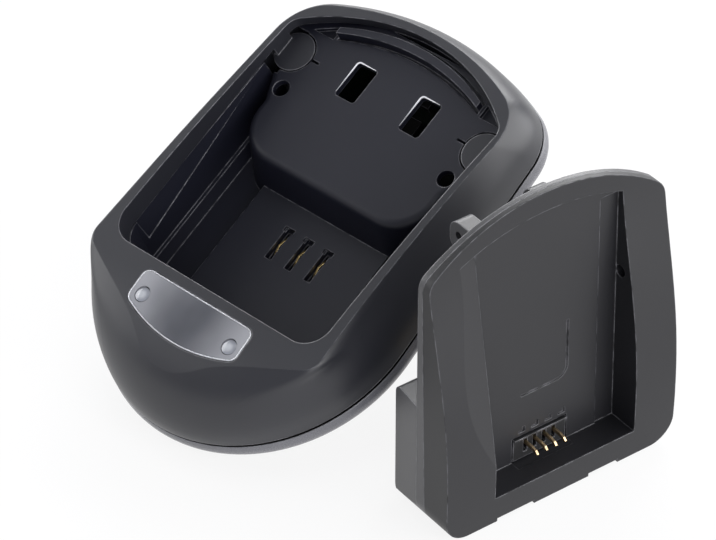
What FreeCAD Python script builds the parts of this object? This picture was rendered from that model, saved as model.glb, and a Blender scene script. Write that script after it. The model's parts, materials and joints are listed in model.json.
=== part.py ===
import FreeCAD, Part
import math
import os
import Sketcher
from FreeCAD import Placement, Rotation, Vector

# Camera battery charger: a tilted charger base with a lift-off adapter plate standing beside it.
# Base pieces are drawn in the base frame: x right, y away from the window end, z up from the
# parting plane. Plate pieces are drawn in the plate frame: x right, y back, z up.

DOC = FreeCAD.newDocument("camera_battery_charger")
SHEET = DOC.addObject("Spreadsheet::Sheet", "sizes")

# Every size that can be set alone, in mm and degrees.
SIZES = {
    "rim_width": 7.8,
    "base_length": 106.0,
    "taper_deg": 3.47,
    "tail_radius": 13.0,
    "far_arc": 70.0,
    "groove_half": 0.45,
    "cover_wall": 2.0,
    "cover_roof": 2.6,
    "tray_wall": 1.8,
    "tray_bottom": -10.9,
    "lip_gap": 0.5,
    "lip_wall": 1.1,
    "lip_top": 1.9,
    "land_near_y": 24.0,
    "land_top_z": 15.6,
    "land_near_r": 40.0,
    "land_far_r": 500.0,
    "recess_half": 30.4,
    "recess_near": 27.4,
    "recess_corner_y": 89.5,
    "recess_far": 100.3,
    "recess_near_r": 6.0,
    "recess_far_r": 4.0,
    "skirt_bottom": 9.7,
    "skirt_wall": 1.2,
    "deck_z": 7.1,
    "deck_inset": 4.1,
    "deck_corner_r": 10.0,
    "deck_edge_r": 2.0,
    "shoulder_y": 72.0,
    "shoulder_deg": 24.7,
    "riser_foot": 57.5,
    "riser_run": 2.9,
    "well_z": -2.3,
    "well_draft": 0.4,
    "well_ledge": 0.9,
    "trough_z": -5.3,
    "trough_draft": 1.0,
    "pad_half": 18.5,
    "facet_near_z": 2.6,
    "facet_far_z": 9.0,
    "facet_lean": 0.9,
    "cradle_wall": 1.6,
    "seam": 0.4,
    "slot_x": 9.35,
    "slot_wide": 5.7,
    "slot_near": 80.5,
    "slot_far": 89.5,
    "deck_hole_x": 24.2,
    "deck_hole_y": 75.85,
    "deck_hole_r": 2.0,
    "rib_half": 20.5,
    "rib_high": 2.0,
    "rib_thick": 2.0,
    "rib_inset": 2.2,
    "rib_groove": 0.85,
    "groove_deep": 1.0,
    "boss_inset": 2.8,
    "boss_y": 84.6,
    "boss_r": 4.8,
    "near_boss_x": 18.0,
    "near_boss_y": 20.4,
    "near_boss_r": 2.8,
    "tray_post_r": 3.4,
    "screw_r": 1.25,
    "screw_head_r": 2.4,
    "screw_head_h": 1.5,
    "screw_seat": -6.0,
    "screw_top": 6.0,
    "contact_pitch": 5.8,
    "contact_slot_near": 43.9,
    "contact_slot_far": 52.2,
    "contact_slot_wide": 1.8,
    "window_half": 16.0,
    "window_top": 24.8,
    "window_corner_y": 17.3,
    "window_near": 14.0,
    "window_corner_r": 2.0,
    "window_deep": 1.6,
    "led_x": 12.9,
    "led_y": 19.4,
    "led_r": 1.7,
    "foot_x": 10.5,
    "foot_y": 18.0,
    "foot_r": 4.5,
    "rear_foot_x": 20.5,
    "rear_foot_y": 56.0,
    "foot_high": 2.2,
    "head_from_far": 31.0,
    "head_r": 19.0,
    "dock_deep": 2.0,
    "pin_x": 9.5,
    "pin_r": 2.0,
    "pin_long": 19.0,
    "tilt_deg": 29.4,
    "play": 0.3,
    "plate_gap": 0.4,
    "plate_side": 62.4,
    "plate_rise": 10.8,
    "plate_low_r": 6.0,
    "plate_high_r": 4.0,
    "part_low": 3.0,
    "part_high": 1.1,
    "box_deep": 9.0,
    "box_high": 29.7,
    "box_low_r": 3.6,
    "box_top_r": 2.0,
    "box_wall": 1.8,
    "bay_left": -17.5,
    "bay_right": 19.2,
    "bay_strip": 5.0,
    "bay_low": 6.7,
    "bay_top_inset": 4.5,
    "lug_z": 57.6,
    "lug_high": 7.0,
    "lug_wide": 4.2,
    "lug_reach": 14.0,
    "pin_pitch": 2.45,
    "pin_first": -4.4,
    "plate_yaw": 80.0,
    "plate_x": 42.2,
    "plate_y": 2.36,
    "base_x": -19.45,
    "base_y": -46.65,
}

ROW = 1
for alias, number in SIZES.items():
    SHEET.set("A%d" % ROW, alias)
    SHEET.set("B%d" % ROW, repr(number))
    SHEET.setAlias("B%d" % ROW, alias)
    ROW += 1
DOC.recompute()


def size(alias):
    """Read one named size back from the sheet."""
    return float(getattr(SHEET, alias))


def bind(thing, prop, rule):
    """Tie a property to a formula; plain names in it are sheet names."""
    words = []
    for token in rule.replace("(", " ( ").replace(")", " ) ").split():
        words.append("sizes." + token if token in SIZES else token)
    thing.setExpression(prop, " ".join(words))


def box(name, low, spans):
    """Box from its low corner and spans, both given as formulas."""
    thing = DOC.addObject("Part::Box", name)
    for prop, rule in zip(("Length", "Width", "Height"), spans):
        bind(thing, prop, rule)
    for axis, rule in zip("xyz", low):
        bind(thing, "Placement.Base." + axis, rule)
    return thing


TURN = {
    "z": Rotation(),
    "x": Rotation(Vector(0, 1, 0), 90),
    "y": Rotation(Vector(1, 0, 0), -90),
}


def rod(name, foot, radius, height, axis="z"):
    """Round rod from its foot point, radius and height given as formulas."""
    thing = DOC.addObject("Part::Cylinder", name)
    thing.Placement = Placement(Vector(), TURN[axis])
    bind(thing, "Radius", radius)
    bind(thing, "Height", height)
    for letter, rule in zip("xyz", foot):
        bind(thing, "Placement.Base." + letter, rule)
    return thing


def union(name, things):
    """Join drawn things into one."""
    if len(things) == 1:
        return things[0]
    made = DOC.addObject("Part::MultiFuse", name)
    made.Shapes = things
    made.Refine = True
    return made


def group(name, things):
    """Keep separate solids together as one node."""
    made = DOC.addObject("Part::Compound", name)
    made.Links = things
    return made


def less(name, base, tools):
    """Take tools away from base."""
    made = DOC.addObject("Part::Cut", name)
    made.Base = base
    made.Tool = union(name + "_tools", tools)
    made.Refine = True
    return made


def shaped(name, shape):
    """A thing whose shape is worked out in code."""
    made = DOC.addObject("Part::Feature", name)
    made.Shape = shape
    return made


# Places that follow from the sizes

HALF_WIDTH = round(size("recess_half") + size("rim_width"), 3)
DECK_SIDE = round(size("recess_half") - size("deck_inset"), 3)
DECK_FRONT = round(size("riser_foot") + size("riser_run"), 3)
BOSS_X = round(size("recess_half") - size("boss_inset"), 3)
HEAD_Y = round(size("base_length") - size("head_from_far"), 3)


# Outline of the base at one height


def base_outline(z, side, near, far):
    """Closed outline: near arc and shoulders, tapered sides, tail corners and far arc.

    With near equal to side the near end is a half circle; the more it draws in, the wider
    its arc and the tighter its two shoulders.
    """
    lean = math.radians(size("taper_deg"))
    reach = HALF_WIDTH - side
    hub = Vector(0, near + reach, z)
    tail = size("tail_radius") - 0.4 * side
    far_r = size("far_arc")
    far_hub = Vector(0, size("base_length") - far - far_r, z)
    out = Vector(math.cos(lean), math.sin(lean), 0)
    run = Vector(-math.sin(lean), math.cos(lean), 0)
    spread = reach * max(near - side, 0.02) / SHOULDER_PULL
    round_r = reach - spread
    shoulder = hub + out * spread - run * (SHOULDER_SLIDE * spread)
    sag = shoulder.y - near - round_r
    near_r = round_r + sag / 2 + shoulder.x ** 2 / (2 * sag)
    near_hub = Vector(0, near + near_r, z)
    turn = near_hub + (shoulder - near_hub) * (near_r / (near_r - round_r))
    bend = shoulder + ((turn - shoulder).normalize() + out).normalize() * round_r
    start = hub + out * (reach - tail)
    gap = start - far_hub
    half_b = gap.dot(run)
    rest = gap.dot(gap) - (far_r - tail) ** 2
    corner = start + run * (-half_b + math.sqrt(half_b ** 2 - rest))
    side_low = shoulder + out * round_r
    side_high = corner + out * tail
    to_far = (corner - far_hub).normalize()
    far_end = far_hub + to_far * far_r
    middle = corner + (out + to_far).normalize() * tail
    far_top = far_hub + Vector(0, far_r, 0)
    near_tip = Vector(0, near, z)

    def flip(point):
        return Vector(-point.x, point.y, point.z)

    edges = [
        Part.Arc(flip(turn), near_tip, turn).toShape(),
        Part.Arc(turn, bend, side_low).toShape(),
        Part.LineSegment(side_low, side_high).toShape(),
        Part.Arc(side_high, middle, far_end).toShape(),
        Part.Arc(far_end, far_top, flip(far_end)).toShape(),
        Part.Arc(flip(far_end), flip(middle), flip(side_high)).toShape(),
        Part.LineSegment(flip(side_high), flip(side_low)).toShape(),
        Part.Arc(flip(side_low), flip(bend), flip(turn)).toShape(),
    ]
    return Part.Wire(edges)


# How fast the near shoulders tighten as the near end draws in, and how far they slide to it
SHOULDER_PULL = 11.3
SHOULDER_SLIDE = 0.83

# Height of a section and how far it draws in at the sides, near end and far end
CROWN = [
    (0.0, 0.0, 0.0, 0.0),
    (4.0, 0.45, 0.8, 0.8),
    (8.0, 1.7, 3.2, 2.6),
    (11.3, 3.4, 6.6, 5.4),
    (14.5, 5.3, 13.4, 9.5),
    (17.0, 8.0, 18.5, 13.5),
]
BELLY = [
    (0.0, 0.25, 0.25, 0.25),
    (-4.5, 0.5, 0.5, 0.5),
    (-7.3, 3.9, 3.9, 3.9),
    (-9.5, 8.0, 8.0, 8.0),
    (-10.9, 11.0, 11.0, 11.0),
]
BELLY_INSIDE = [
    (0.0, 2.05, 2.05, 2.05),
    (-4.0, 2.4, 2.4, 2.4),
    (-6.3, 5.4, 5.4, 5.4),
    (-8.1, 9.0, 9.0, 9.0),
    (-9.1, 11.0, 11.0, 11.0),
]


def loft(rows, grow=0.0):
    """Smooth solid through outline sections, drawn in by grow."""
    wires = [base_outline(z, s + grow, n + grow, f + grow) for z, s, n, f in rows]
    return Part.makeLoft(wires, True, False)


def land_profile(drop):
    """Block under the top land, its two arcs lowered by drop."""
    y_top = size("land_near_y")
    z_top = size("land_top_z") - drop
    near_r = size("land_near_r")
    far_r = size("land_far_r")
    near_turn = 22.0
    far_y = 112.0
    near_y = y_top - near_r * math.sin(math.radians(near_turn))
    near_z = z_top - near_r * (1 - math.cos(math.radians(near_turn)))
    half_turn = math.radians(near_turn / 2)
    near_mid = Vector(0, y_top - near_r * math.sin(half_turn), z_top - near_r * (1 - math.cos(half_turn)))

    def far_point(y):
        return Vector(0, y, z_top - far_r + math.sqrt(far_r ** 2 - (y - y_top) ** 2))

    start = Vector(0, near_y, near_z)
    front = start + Vector(0, -12.0, -12.0 * math.tan(math.radians(near_turn)))
    top = Vector(0, y_top, z_top)
    under = -20.0
    end = far_point(far_y)
    edges = [
        Part.LineSegment(Vector(0, front.y, under), front).toShape(),
        Part.LineSegment(front, start).toShape(),
        Part.Arc(start, near_mid, top).toShape(),
        Part.Arc(top, far_point((far_y + y_top) / 2), end).toShape(),
        Part.LineSegment(end, Vector(0, far_y, under)).toShape(),
        Part.LineSegment(Vector(0, far_y, under), Vector(0, front.y, under)).toShape(),
    ]
    face = Part.Face(Part.Wire(edges))
    face.translate(Vector(-60, 0, 0))
    return face.extrude(Vector(120, 0, 0))


def rounded_outline(z, half, near, corner_y, far, near_r, far_r):
    """Recess outline: straight near edge and sides, far arc, rounded corners."""
    rise = far - corner_y
    radius = (half ** 2 + rise ** 2) / (2 * rise)
    arc = Part.Arc(Vector(half, corner_y, z), Vector(0, far, z), Vector(-half, corner_y, z)).toShape()
    sides = [
        Part.LineSegment(Vector(-half, near, z), Vector(half, near, z)).toShape(),
        Part.LineSegment(Vector(half, near, z), Vector(half, corner_y, z)).toShape(),
        arc,
        Part.LineSegment(Vector(-half, corner_y, z), Vector(-half, near, z)).toShape(),
    ]
    face = Part.Face(Part.Wire(sides))
    solid = face.extrude(Vector(0, 0, 1))
    near_edges = []
    far_edges = []
    for edge in solid.Edges:
        low, high = edge.BoundBox.ZMin, edge.BoundBox.ZMax
        if high - low > 0.5:
            target = near_edges if edge.BoundBox.YMin < near + 1 else far_edges
            target.append(edge)
    if near_r > 0:
        solid = solid.makeFillet(near_r, near_edges)
        far_edges = [e for e in solid.Edges if e.BoundBox.ZLength > 0.5
                     and abs(e.BoundBox.YMin - corner_y) < 0.01]
    if far_r > 0:
        solid = solid.makeFillet(far_r, far_edges)
    return solid, radius


def recess_block(grow, low, high):
    """Straight block with the recess outline grown by grow, from low to high."""
    solid, _ = rounded_outline(
        0, size("recess_half") + grow, size("recess_near") - grow, size("recess_corner_y"),
        size("recess_far") + grow, size("recess_near_r") + grow, size("recess_far_r") + grow)
    for face in solid.Faces:
        if abs(face.CenterOfMass.z) < 1e-6 and abs(face.normalAt(0, 0).z) > 0.9:
            base = face.copy()
    base.translate(Vector(0, 0, low))
    return base.extrude(Vector(0, 0, high - low))


def polygon_block(points, axis, start, span):
    """Prism from points in the plane across axis, from start over span."""
    place = {
        "x": lambda a, b: Vector(start, a, b),
        "y": lambda a, b: Vector(a, start, b),
        "z": lambda a, b: Vector(a, b, start),
    }[axis]
    corners = [place(a, b) for a, b in points]
    face = Part.Face(Part.makePolygon(corners + corners[:1]))
    way = {"x": Vector(span, 0, 0), "y": Vector(0, span, 0), "z": Vector(0, 0, span)}[axis]
    return face.extrude(way)


def crown_solid(grow, drop):
    """Cover body: side loft cut by the top land."""
    return loft(CROWN, grow).common(land_profile(drop))


# Shared volumes of the base

OUTER = crown_solid(0.0, 0.0)
CAVITY = crown_solid(size("cover_wall"), size("cover_roof"))
GROOVE = size("groove_half")


def slab(low, high, half=60.0, near=-20.0, far=130.0):
    """Wide flat block between two heights, for trimming."""
    return Part.makeBox(2 * half, far - near, high - low, Vector(-half, near, low))


# Straight length kept between a deck corner and its shoulder
SHOULDER_RUN = 1.0


def deck_block(grow, low, top):
    """Raised deck: sloping front with wide rounded corners, sides running out to the walls."""
    turn = math.radians(size("shoulder_deg"))
    lean = (DECK_FRONT - size("riser_foot")) / (size("deck_z") - size("well_z"))
    side_lean = 0.12
    reach = 30.0

    def outline(z):
        drop = size("deck_z") - z
        front = DECK_FRONT - lean * drop + grow
        half = DECK_SIDE + side_lean * drop - grow
        radius = min(size("deck_corner_r"), size("shoulder_y") - DECK_FRONT - SHOULDER_RUN) - grow
        shoulder = size("shoulder_y") + grow * math.tan(turn / 2)
        wide = half + reach * math.sin(turn)
        far = shoulder + reach * math.cos(turn)
        slant = radius * (1 - math.sqrt(0.5))

        def corner(way):
            ends = [
                Vector(way * (half - radius), front, z),
                Vector(way * (half - slant), front + slant, z),
                Vector(way * half, front + radius, z),
            ]
            return ends if way > 0 else ends[::-1]

        right, left = corner(1), corner(-1)
        points = [right[2], Vector(half, shoulder, z), Vector(wide, far, z),
                  Vector(-wide, far, z), Vector(-half, shoulder, z), left[0]]
        edges = [Part.LineSegment(left[2], right[0]).toShape(), Part.Arc(*right).toShape()]
        for start, end in zip(points, points[1:]):
            edges.append(Part.LineSegment(start, end).toShape())
        edges.append(Part.Arc(*left).toShape())
        return Part.Wire(edges)

    block = Part.makeLoft([outline(low), outline(top)], True, True)
    if grow > 0:
        return block
    rim = [e for e in block.Edges if e.BoundBox.ZMin > top - 0.01 and e.BoundBox.YMin < 90.0]
    return block.makeFillet(size("deck_edge_r"), rim)


def cradle_volume(grow):
    """Filled cradle from the skirt seam down to the deck, the floor pad and the troughs, grown outwards."""
    top = size("skirt_bottom")
    ledge = size("well_z") - grow
    trough = size("trough_z") - grow
    half = size("recess_half") + grow
    low_half = half - size("well_draft")
    trough_half = low_half - size("well_ledge")
    foot_half = trough_half - size("trough_draft")
    right = [(foot_half, trough), (trough_half, ledge), (low_half, ledge), (half, top)]
    left = [(-x, z) for x, z in reversed(right)]
    walls = polygon_block(right + left, "y", -20, 150)
    room = recess_block(grow, trough, top).common(walls)
    pad_half = size("pad_half") - grow
    pad = Part.makeBox(2 * pad_half, 120, ledge - trough + 1, Vector(-pad_half, 0, trough - 1))
    return room.cut(pad).cut(deck_block(grow, trough - 1, size("deck_z") - grow))


WELL = cradle_volume(0.0)
CRADLE_OUTSIDE = cradle_volume(size("cradle_wall"))


def window_outline(grow, low, high):
    """Status window prism: straight top, slanting sides, bowed bottom."""
    half = size("window_half") + grow
    top = size("window_top") + grow
    corner = size("window_corner_y") - grow
    near = size("window_near") - grow
    edges = [
        Part.LineSegment(Vector(-half, top, low), Vector(-half, corner, low)).toShape(),
        Part.Arc(Vector(-half, corner, low), Vector(0, near, low), Vector(half, corner, low)).toShape(),
        Part.LineSegment(Vector(half, corner, low), Vector(half, top, low)).toShape(),
        Part.LineSegment(Vector(half, top, low), Vector(-half, top, low)).toShape(),
    ]
    solid = Part.Face(Part.Wire(edges)).extrude(Vector(0, 0, high - low))
    upright = [e for e in solid.Edges if e.BoundBox.ZLength > 0.5]
    return solid.makeFillet(size("window_corner_r") + grow, upright)


def skin(start, end):
    """Layer of the cover roof between two depths below its surface."""
    outside = OUTER if start == 0 else crown_solid(start * 0.9, start)
    return outside.cut(crown_solid(end * 0.9, end))


def tube(x, y, low, high, radius, hole=0.0):
    """Upright post with an optional bore."""
    post = Part.makeCylinder(radius, high - low, Vector(x, y, low))
    if hole > 0:
        post = post.cut(Part.makeCylinder(hole, high - low + 2, Vector(x, y, low - 1)))
    return post


def pairs(x, y):
    """The two mirrored places."""
    return [(-x, y), (x, y)]


NEAR_BOSSES = pairs(size("near_boss_x"), size("near_boss_y"))
FAR_BOSSES = pairs(BOSS_X, size("boss_y"))
PILOT_R = size("screw_r") + 0.05
SCREW_CLEAR_R = size("screw_r") + 0.2


# Webs that tie the far bosses to the side walls
WEB_LONG = 6.0
WEB_WIDE = 5.0
LINK_THICK = 2.2


def make_top_cover():
    """Crowned shell with the recess opening, its skirt, the window pocket and screw bosses."""
    shell = OUTER.cut(CAVITY)
    opening = recess_block(0.0, -5, 30)
    skirt_out = recess_block(size("skirt_wall"), size("skirt_bottom"), 30).common(OUTER)
    cover = shell.fuse(skirt_out).cut(opening)
    for x, y in NEAR_BOSSES:
        cover = cover.fuse(tube(x, y, 0.0, 16.0, size("near_boss_r")).common(OUTER))
    deck = size("deck_z")
    for x, y in FAR_BOSSES:
        boss = tube(x, y, 0.0, deck, size("boss_r"))
        side = 1 if x > 0 else -1
        web_x = x if side > 0 else x - WEB_LONG
        web = Part.makeBox(WEB_LONG, WEB_WIDE, deck, Vector(web_x, y - WEB_WIDE / 2, 0.0)).common(OUTER)
        half = size("recess_half")
        link_x = half if side > 0 else -half - LINK_THICK
        link = Part.makeBox(LINK_THICK, WEB_WIDE, size("skirt_bottom") + 1 - deck + 3,
                            Vector(link_x, y - WEB_WIDE / 2, deck - 3))
        cover = cover.fuse(boss).fuse(web).fuse(link.common(OUTER))
    cover = cover.cut(window_outline(0.15, 5, 30).common(skin(0, size("window_deep"))))
    for x, y in pairs(size("led_x"), size("led_y")):
        cover = cover.cut(tube(x, y, 5, 30, size("led_r") + 0.3))
    for x, y in NEAR_BOSSES + FAR_BOSSES:
        cover = cover.cut(tube(x, y, -1, size("screw_top") + 0.6, PILOT_R))
    return cover.cut(slab(-30, GROOVE)).removeSplitter()


def ring_between(outer_in, inner_in, low, high):
    """Wall following the outline between two insets and two heights."""
    rim = [Part.Face(base_outline(low, inset, inset, inset)) for inset in (outer_in, inner_in)]
    up = Vector(0, 0, high - low)
    return rim[0].extrude(up).cut(rim[1].extrude(up))


def make_bottom_tray():
    """Belly shell with the locating lip, screw posts, the plug dock and its hub bore."""
    outside = loft(BELLY)
    inside = loft(BELLY_INSIDE)
    tray = outside.cut(inside)
    lip_in = size("cover_wall") + size("lip_gap")
    hollow_in = lip_in + size("lip_wall")
    root = size("cover_wall") - 0.5
    lip = ring_between(lip_in, hollow_in, -GROOVE - 0.5, size("lip_top"))
    foot = ring_between(root, hollow_in, -4.0, -GROOVE)
    tray = tray.cut(slab(-GROOVE, 5)).fuse(foot.common(outside)).fuse(lip)
    for x, y in FAR_BOSSES:
        room_x = x - 2.0 if x > 0 else x - 6.0
        tray = tray.cut(Part.makeBox(8.0, 11.0, 5.0, Vector(room_x, y - 5.5, GROOVE - size("play"))))
    outline = Part.Face(base_outline(-12, 2.0, 2.0, 2.0)).extrude(Vector(0, 0, 20))
    belly = outside.common(slab(-30, -0.5)).fuse(outline.common(slab(-1, GROOVE)))
    for x, y in NEAR_BOSSES + FAR_BOSSES:
        tray = tray.fuse(tube(x, y, -12, GROOVE, size("tray_post_r")).common(belly))
    head_y, head_r = HEAD_Y, size("head_r")
    bottom = size("tray_bottom")
    dock_top = bottom + size("dock_deep")
    roof = dock_top + size("tray_wall")
    tray = tray.fuse(tube(0, head_y, bottom, roof, head_r + 1.8).common(outside))
    tray = tray.cut(tube(0, head_y, bottom - 5, dock_top, head_r + size("play")))
    tray = tray.cut(tube(0, head_y, dock_top - 1, roof + 1, 4.0 + size("play")))
    for side in (-1, 1):
        tray = tray.cut(arc_slot(side, dock_top - 1, roof + 1))
    for x, y in NEAR_BOSSES + FAR_BOSSES:
        tray = tray.cut(tube(x, y, -20, 5, SCREW_CLEAR_R))
        tray = tray.cut(tube(x, y, -20, size("screw_seat"), size("screw_head_r") + 0.3))
    return tray.removeSplitter()


def arc_slot(side, low, high):
    """Curved slot for one plug contact stud over its turning travel."""
    radius = size("pin_x")
    half = 2.3
    ring = Part.makeCylinder(radius + half, high - low, Vector(0, HEAD_Y, low))
    ring = ring.cut(Part.makeCylinder(radius - half, high - low, Vector(0, HEAD_Y, low)))
    reach = 30.0
    start = math.radians(-16.0 if side > 0 else 164.0)
    sweep = math.radians(77.0)
    corners = [(0.0, HEAD_Y)]
    for step in range(5):
        turn = start + sweep * step / 4
        corners.append((reach * math.cos(turn), HEAD_Y + reach * math.sin(turn)))
    return ring.common(polygon_block(corners, "z", low - 1, high - low + 2))


# Room beside each far boss and the fine key slit that runs in from it
BOSS_ROOM_LONG = 8.4
BOSS_ROOM_WIDE = 11.5
KEY_LONG = 3.0
KEY_WIDE = 0.6
KEY_REACH = 7.3


def make_cradle():
    """Deck, riser and contact well in one thin moulding, with slots, holes and the far rib."""
    top = size("skirt_bottom") - size("seam")
    wall = size("cradle_wall")
    deck = size("deck_z")
    play = size("play")
    under_cover = crown_solid(size("cover_wall") + play, size("cover_roof") + play)
    upper = CRADLE_OUTSIDE.common(slab(0, top)).common(under_cover)
    lower = CRADLE_OUTSIDE.common(slab(-20, 0)).common(loft(BELLY_INSIDE, play))
    body = lower.fuse(upper).cut(WELL).cut(wall_facet(-1)).cut(wall_facet(1))
    body = body.cut(slab(deck, 40, 60, size("recess_corner_y")))
    near, far = size("slot_near"), size("slot_far")
    wide = size("slot_wide")
    for side in (-1, 1):
        slot = Part.makeBox(wide, far - near, 6, Vector(side * size("slot_x") - wide / 2, near, deck - 4))
        slot = slot.makeFillet(0.8, [e for e in slot.Edges if e.BoundBox.ZLength > 5])
        body = body.cut(slot)
        body = body.cut(tube(side * size("deck_hole_x"), size("deck_hole_y"), deck - 4, deck + 2,
                             size("deck_hole_r")))
        x, y = side * BOSS_X, size("boss_y")
        body = body.cut(tube(x, y, -5, 20, size("boss_r") + 0.35))
        edge = x if side > 0 else x - BOSS_ROOM_LONG
        room = Part.makeBox(BOSS_ROOM_LONG, BOSS_ROOM_WIDE, 20, Vector(edge, y - 6.1, deck - 12))
        key_x = x - KEY_REACH if side > 0 else x + KEY_REACH - KEY_LONG
        key = Part.makeBox(KEY_LONG, KEY_WIDE, 6, Vector(key_x, y - 0.2, deck - 4))
        body = body.cut(room).cut(key)
    body = far_rib(body)
    floor = size("well_z")
    pitch = size("contact_pitch")
    slot_near, slot_far = size("contact_slot_near"), size("contact_slot_far")
    slot_wide = size("contact_slot_wide")
    for index in (-1, 0, 1):
        low_x = index * pitch - slot_wide / 2
        slot = Part.makeBox(slot_wide, slot_far - slot_near, 6, Vector(low_x, slot_near, floor - 4))
        head = Part.makeBox(slot_wide + 1.0, 1.2, 0.6, Vector(low_x - 0.5, slot_far - 1.2, floor - 0.6))
        body = body.cut(slot).cut(head)
    for y in LEG_PLACES:
        for x, y_now in pairs(LEG_X, y):
            body = body.fuse(tube(x, y_now, TRAY_FLOOR, size("trough_z") - wall + 0.2, LEG_R))
    return body.removeSplitter()


POCKET_LONG = 9.0
POCKET_NEAR = 91.2


def far_rib(body):
    """Add the curved rib along the far wall, a groove on each side of it and the corner pockets."""
    deck = size("deck_z")
    inset, thick = size("rib_inset"), size("rib_thick")
    groove, deep = size("rib_groove"), size("groove_deep")
    half = size("rib_half")

    def band(start, width, low, high):
        return recess_block(-start, low, high).cut(recess_block(-start - width, low - 1, high + 1))

    middle = Part.makeBox(2 * half, 30, 12, Vector(-half, 88, deck - 6))
    trench = band(inset - groove, thick + 2 * groove, deck - deep, deck + 3).common(middle)
    rib = band(inset, thick, deck - deep - 0.2, deck + size("rib_high")).common(middle)
    body = body.cut(trench).fuse(rib)
    for side in (-1, 1):
        start = side * (half + 0.8)
        low_x = start if side > 0 else start - POCKET_LONG
        room = Part.makeBox(POCKET_LONG, 12.0, deep + 3, Vector(low_x, POCKET_NEAR, deck - deep))
        body = body.cut(room.common(recess_block(-1.0, deck - deep, deck + 3)))
    return body


def wall_facet(side):
    """Wedge that leans the upper part of one side wall outwards, its foot rising to the far end."""
    inner = size("recess_half") - 0.05
    top = size("skirt_bottom")
    near, far = size("recess_near") + size("recess_near_r"), 79.0
    wires = []
    for y, foot in ((near, size("facet_near_z")), (far, size("facet_far_z"))):
        out = inner + size("facet_lean") * (top - foot) / (top - size("facet_near_z"))
        corners = [(inner, foot), (out, top), (inner - 0.5, top), (inner - 0.5, foot)]
        points = [Vector(side * x, y, z) for x, z in corners]
        wires.append(Part.makePolygon(points + points[:1]))
    return Part.makeLoft(wires, True, True)


TRAY_FLOOR = -9.1
# Legs that carry the cradle on the tray floor
LEG_X = 23.4
LEG_PLACES = (34.0, 53.0)
LEG_R = 2.2


def make_status_window():
    """Smoked window lens following the land, with openings over the two lamps."""
    lens = window_outline(-0.3, 5, 30).common(skin(0, 1.0))
    for x, y in pairs(size("led_x"), size("led_y")):
        lens = lens.cut(tube(x, y, 5, 30, size("led_r") + 0.15))
    return lens


def make_window_backing():
    """Bright backing tray whose rim shows round the window."""
    full = window_outline(0.0, 5, 30)
    inner = window_outline(-0.25, 5, 30)
    depth = size("window_deep") - 0.05
    rim = full.cut(inner).common(skin(0, depth))
    floor = full.common(skin(1.0, depth))
    backing = rim.fuse(floor)
    for x, y in pairs(size("led_x"), size("led_y")):
        backing = backing.cut(tube(x, y, 5, 30, size("led_r") + 0.15))
    return backing.removeSplitter()


def lamp(x):
    """One lamp: round body on the indicator board with a domed top level with the window."""
    y, radius = size("led_y"), size("led_r")
    top = OUTER.common(tube(x, y, 5, 30, 0.2)).BoundBox.ZMax
    shoulder = top - 0.9
    stem = tube(x, y, LAMP_BOARD_TOP, shoulder, radius)
    ball = Part.makeSphere(LAMP_DOME_R, Vector(x, y, top + 0.1 - LAMP_DOME_R))
    dome = ball.common(tube(x, y, shoulder - 0.05, top + 1, radius))
    flange = tube(x, y, LAMP_BOARD_TOP, LAMP_BOARD_TOP + 0.8, radius + 0.3)
    return stem.fuse(dome).fuse(flange).removeSplitter()


LAMP_BOARD_TOP = 9.6
LAMP_DOME_R = 4.5


# Bodies drawn with sketches


def plane_of(body, role):
    """One of the body's own origin planes."""
    for item in body.Origin.OriginFeatures:
        if item.Role == role:
            return item
    raise ValueError(role)


def outline_body(name, corners, low, high, holes=()):
    """Sketched plate: closed outline of formula points, raised from low to high, with round holes."""
    body = DOC.addObject("PartDesign::Body", name)
    sketch = body.newObject("Sketcher::SketchObject", name + "_outline")
    sketch.AttachmentSupport = [(plane_of(body, "XY_Plane"), "")]
    sketch.MapMode = "FlatFace"
    bind(sketch, "AttachmentOffset.Base.z", low)
    values = [(number(x), number(y)) for x, y in corners]
    count = len(values)
    for index in range(count):
        a, b = values[index], values[(index + 1) % count]
        sketch.addGeometry(Part.LineSegment(Vector(a[0], a[1], 0), Vector(b[0], b[1], 0)))
    for index in range(count):
        pin_point(sketch, index, 1, corners[index])
        far = (index + 1) % count
        sketch.addConstraint(Sketcher.Constraint("Coincident", index, 2, far, 1))
    for x, y, radius in holes:
        middle = Vector(number(x), number(y), 0)
        item = sketch.addGeometry(Part.Circle(middle, Vector(0, 0, 1), number(radius)))
        pin_point(sketch, item, 3, (x, y))
        made = sketch.addConstraint(Sketcher.Constraint("Radius", item, number(radius)))
        bind(sketch, "Constraints[%d]" % made, radius)
    pad = body.newObject("PartDesign::Pad", name + "_pad")
    pad.Profile = sketch
    bind(pad, "Length", "( %s ) - ( %s )" % (high, low))
    return body


def pin_point(sketch, item, end, place):
    """Fix one sketch point at a place given by two formulas."""
    for kind, rule in zip(("DistanceX", "DistanceY"), place):
        value = number(rule)
        if abs(value) < 1e-9:
            target = -2 if kind == "DistanceX" else -1
            sketch.addConstraint(Sketcher.Constraint("PointOnObject", item, end, target))
            continue
        made = sketch.addConstraint(Sketcher.Constraint(kind, -1, 1, item, end, value))
        bind(sketch, "Constraints[%d]" % made, rule)


def number(rule):
    """Value of a formula of sheet names and plain numbers."""
    words = []
    for token in rule.replace("(", " ( ").replace(")", " ) ").split():
        words.append(token)
    return reckon(words)


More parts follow.
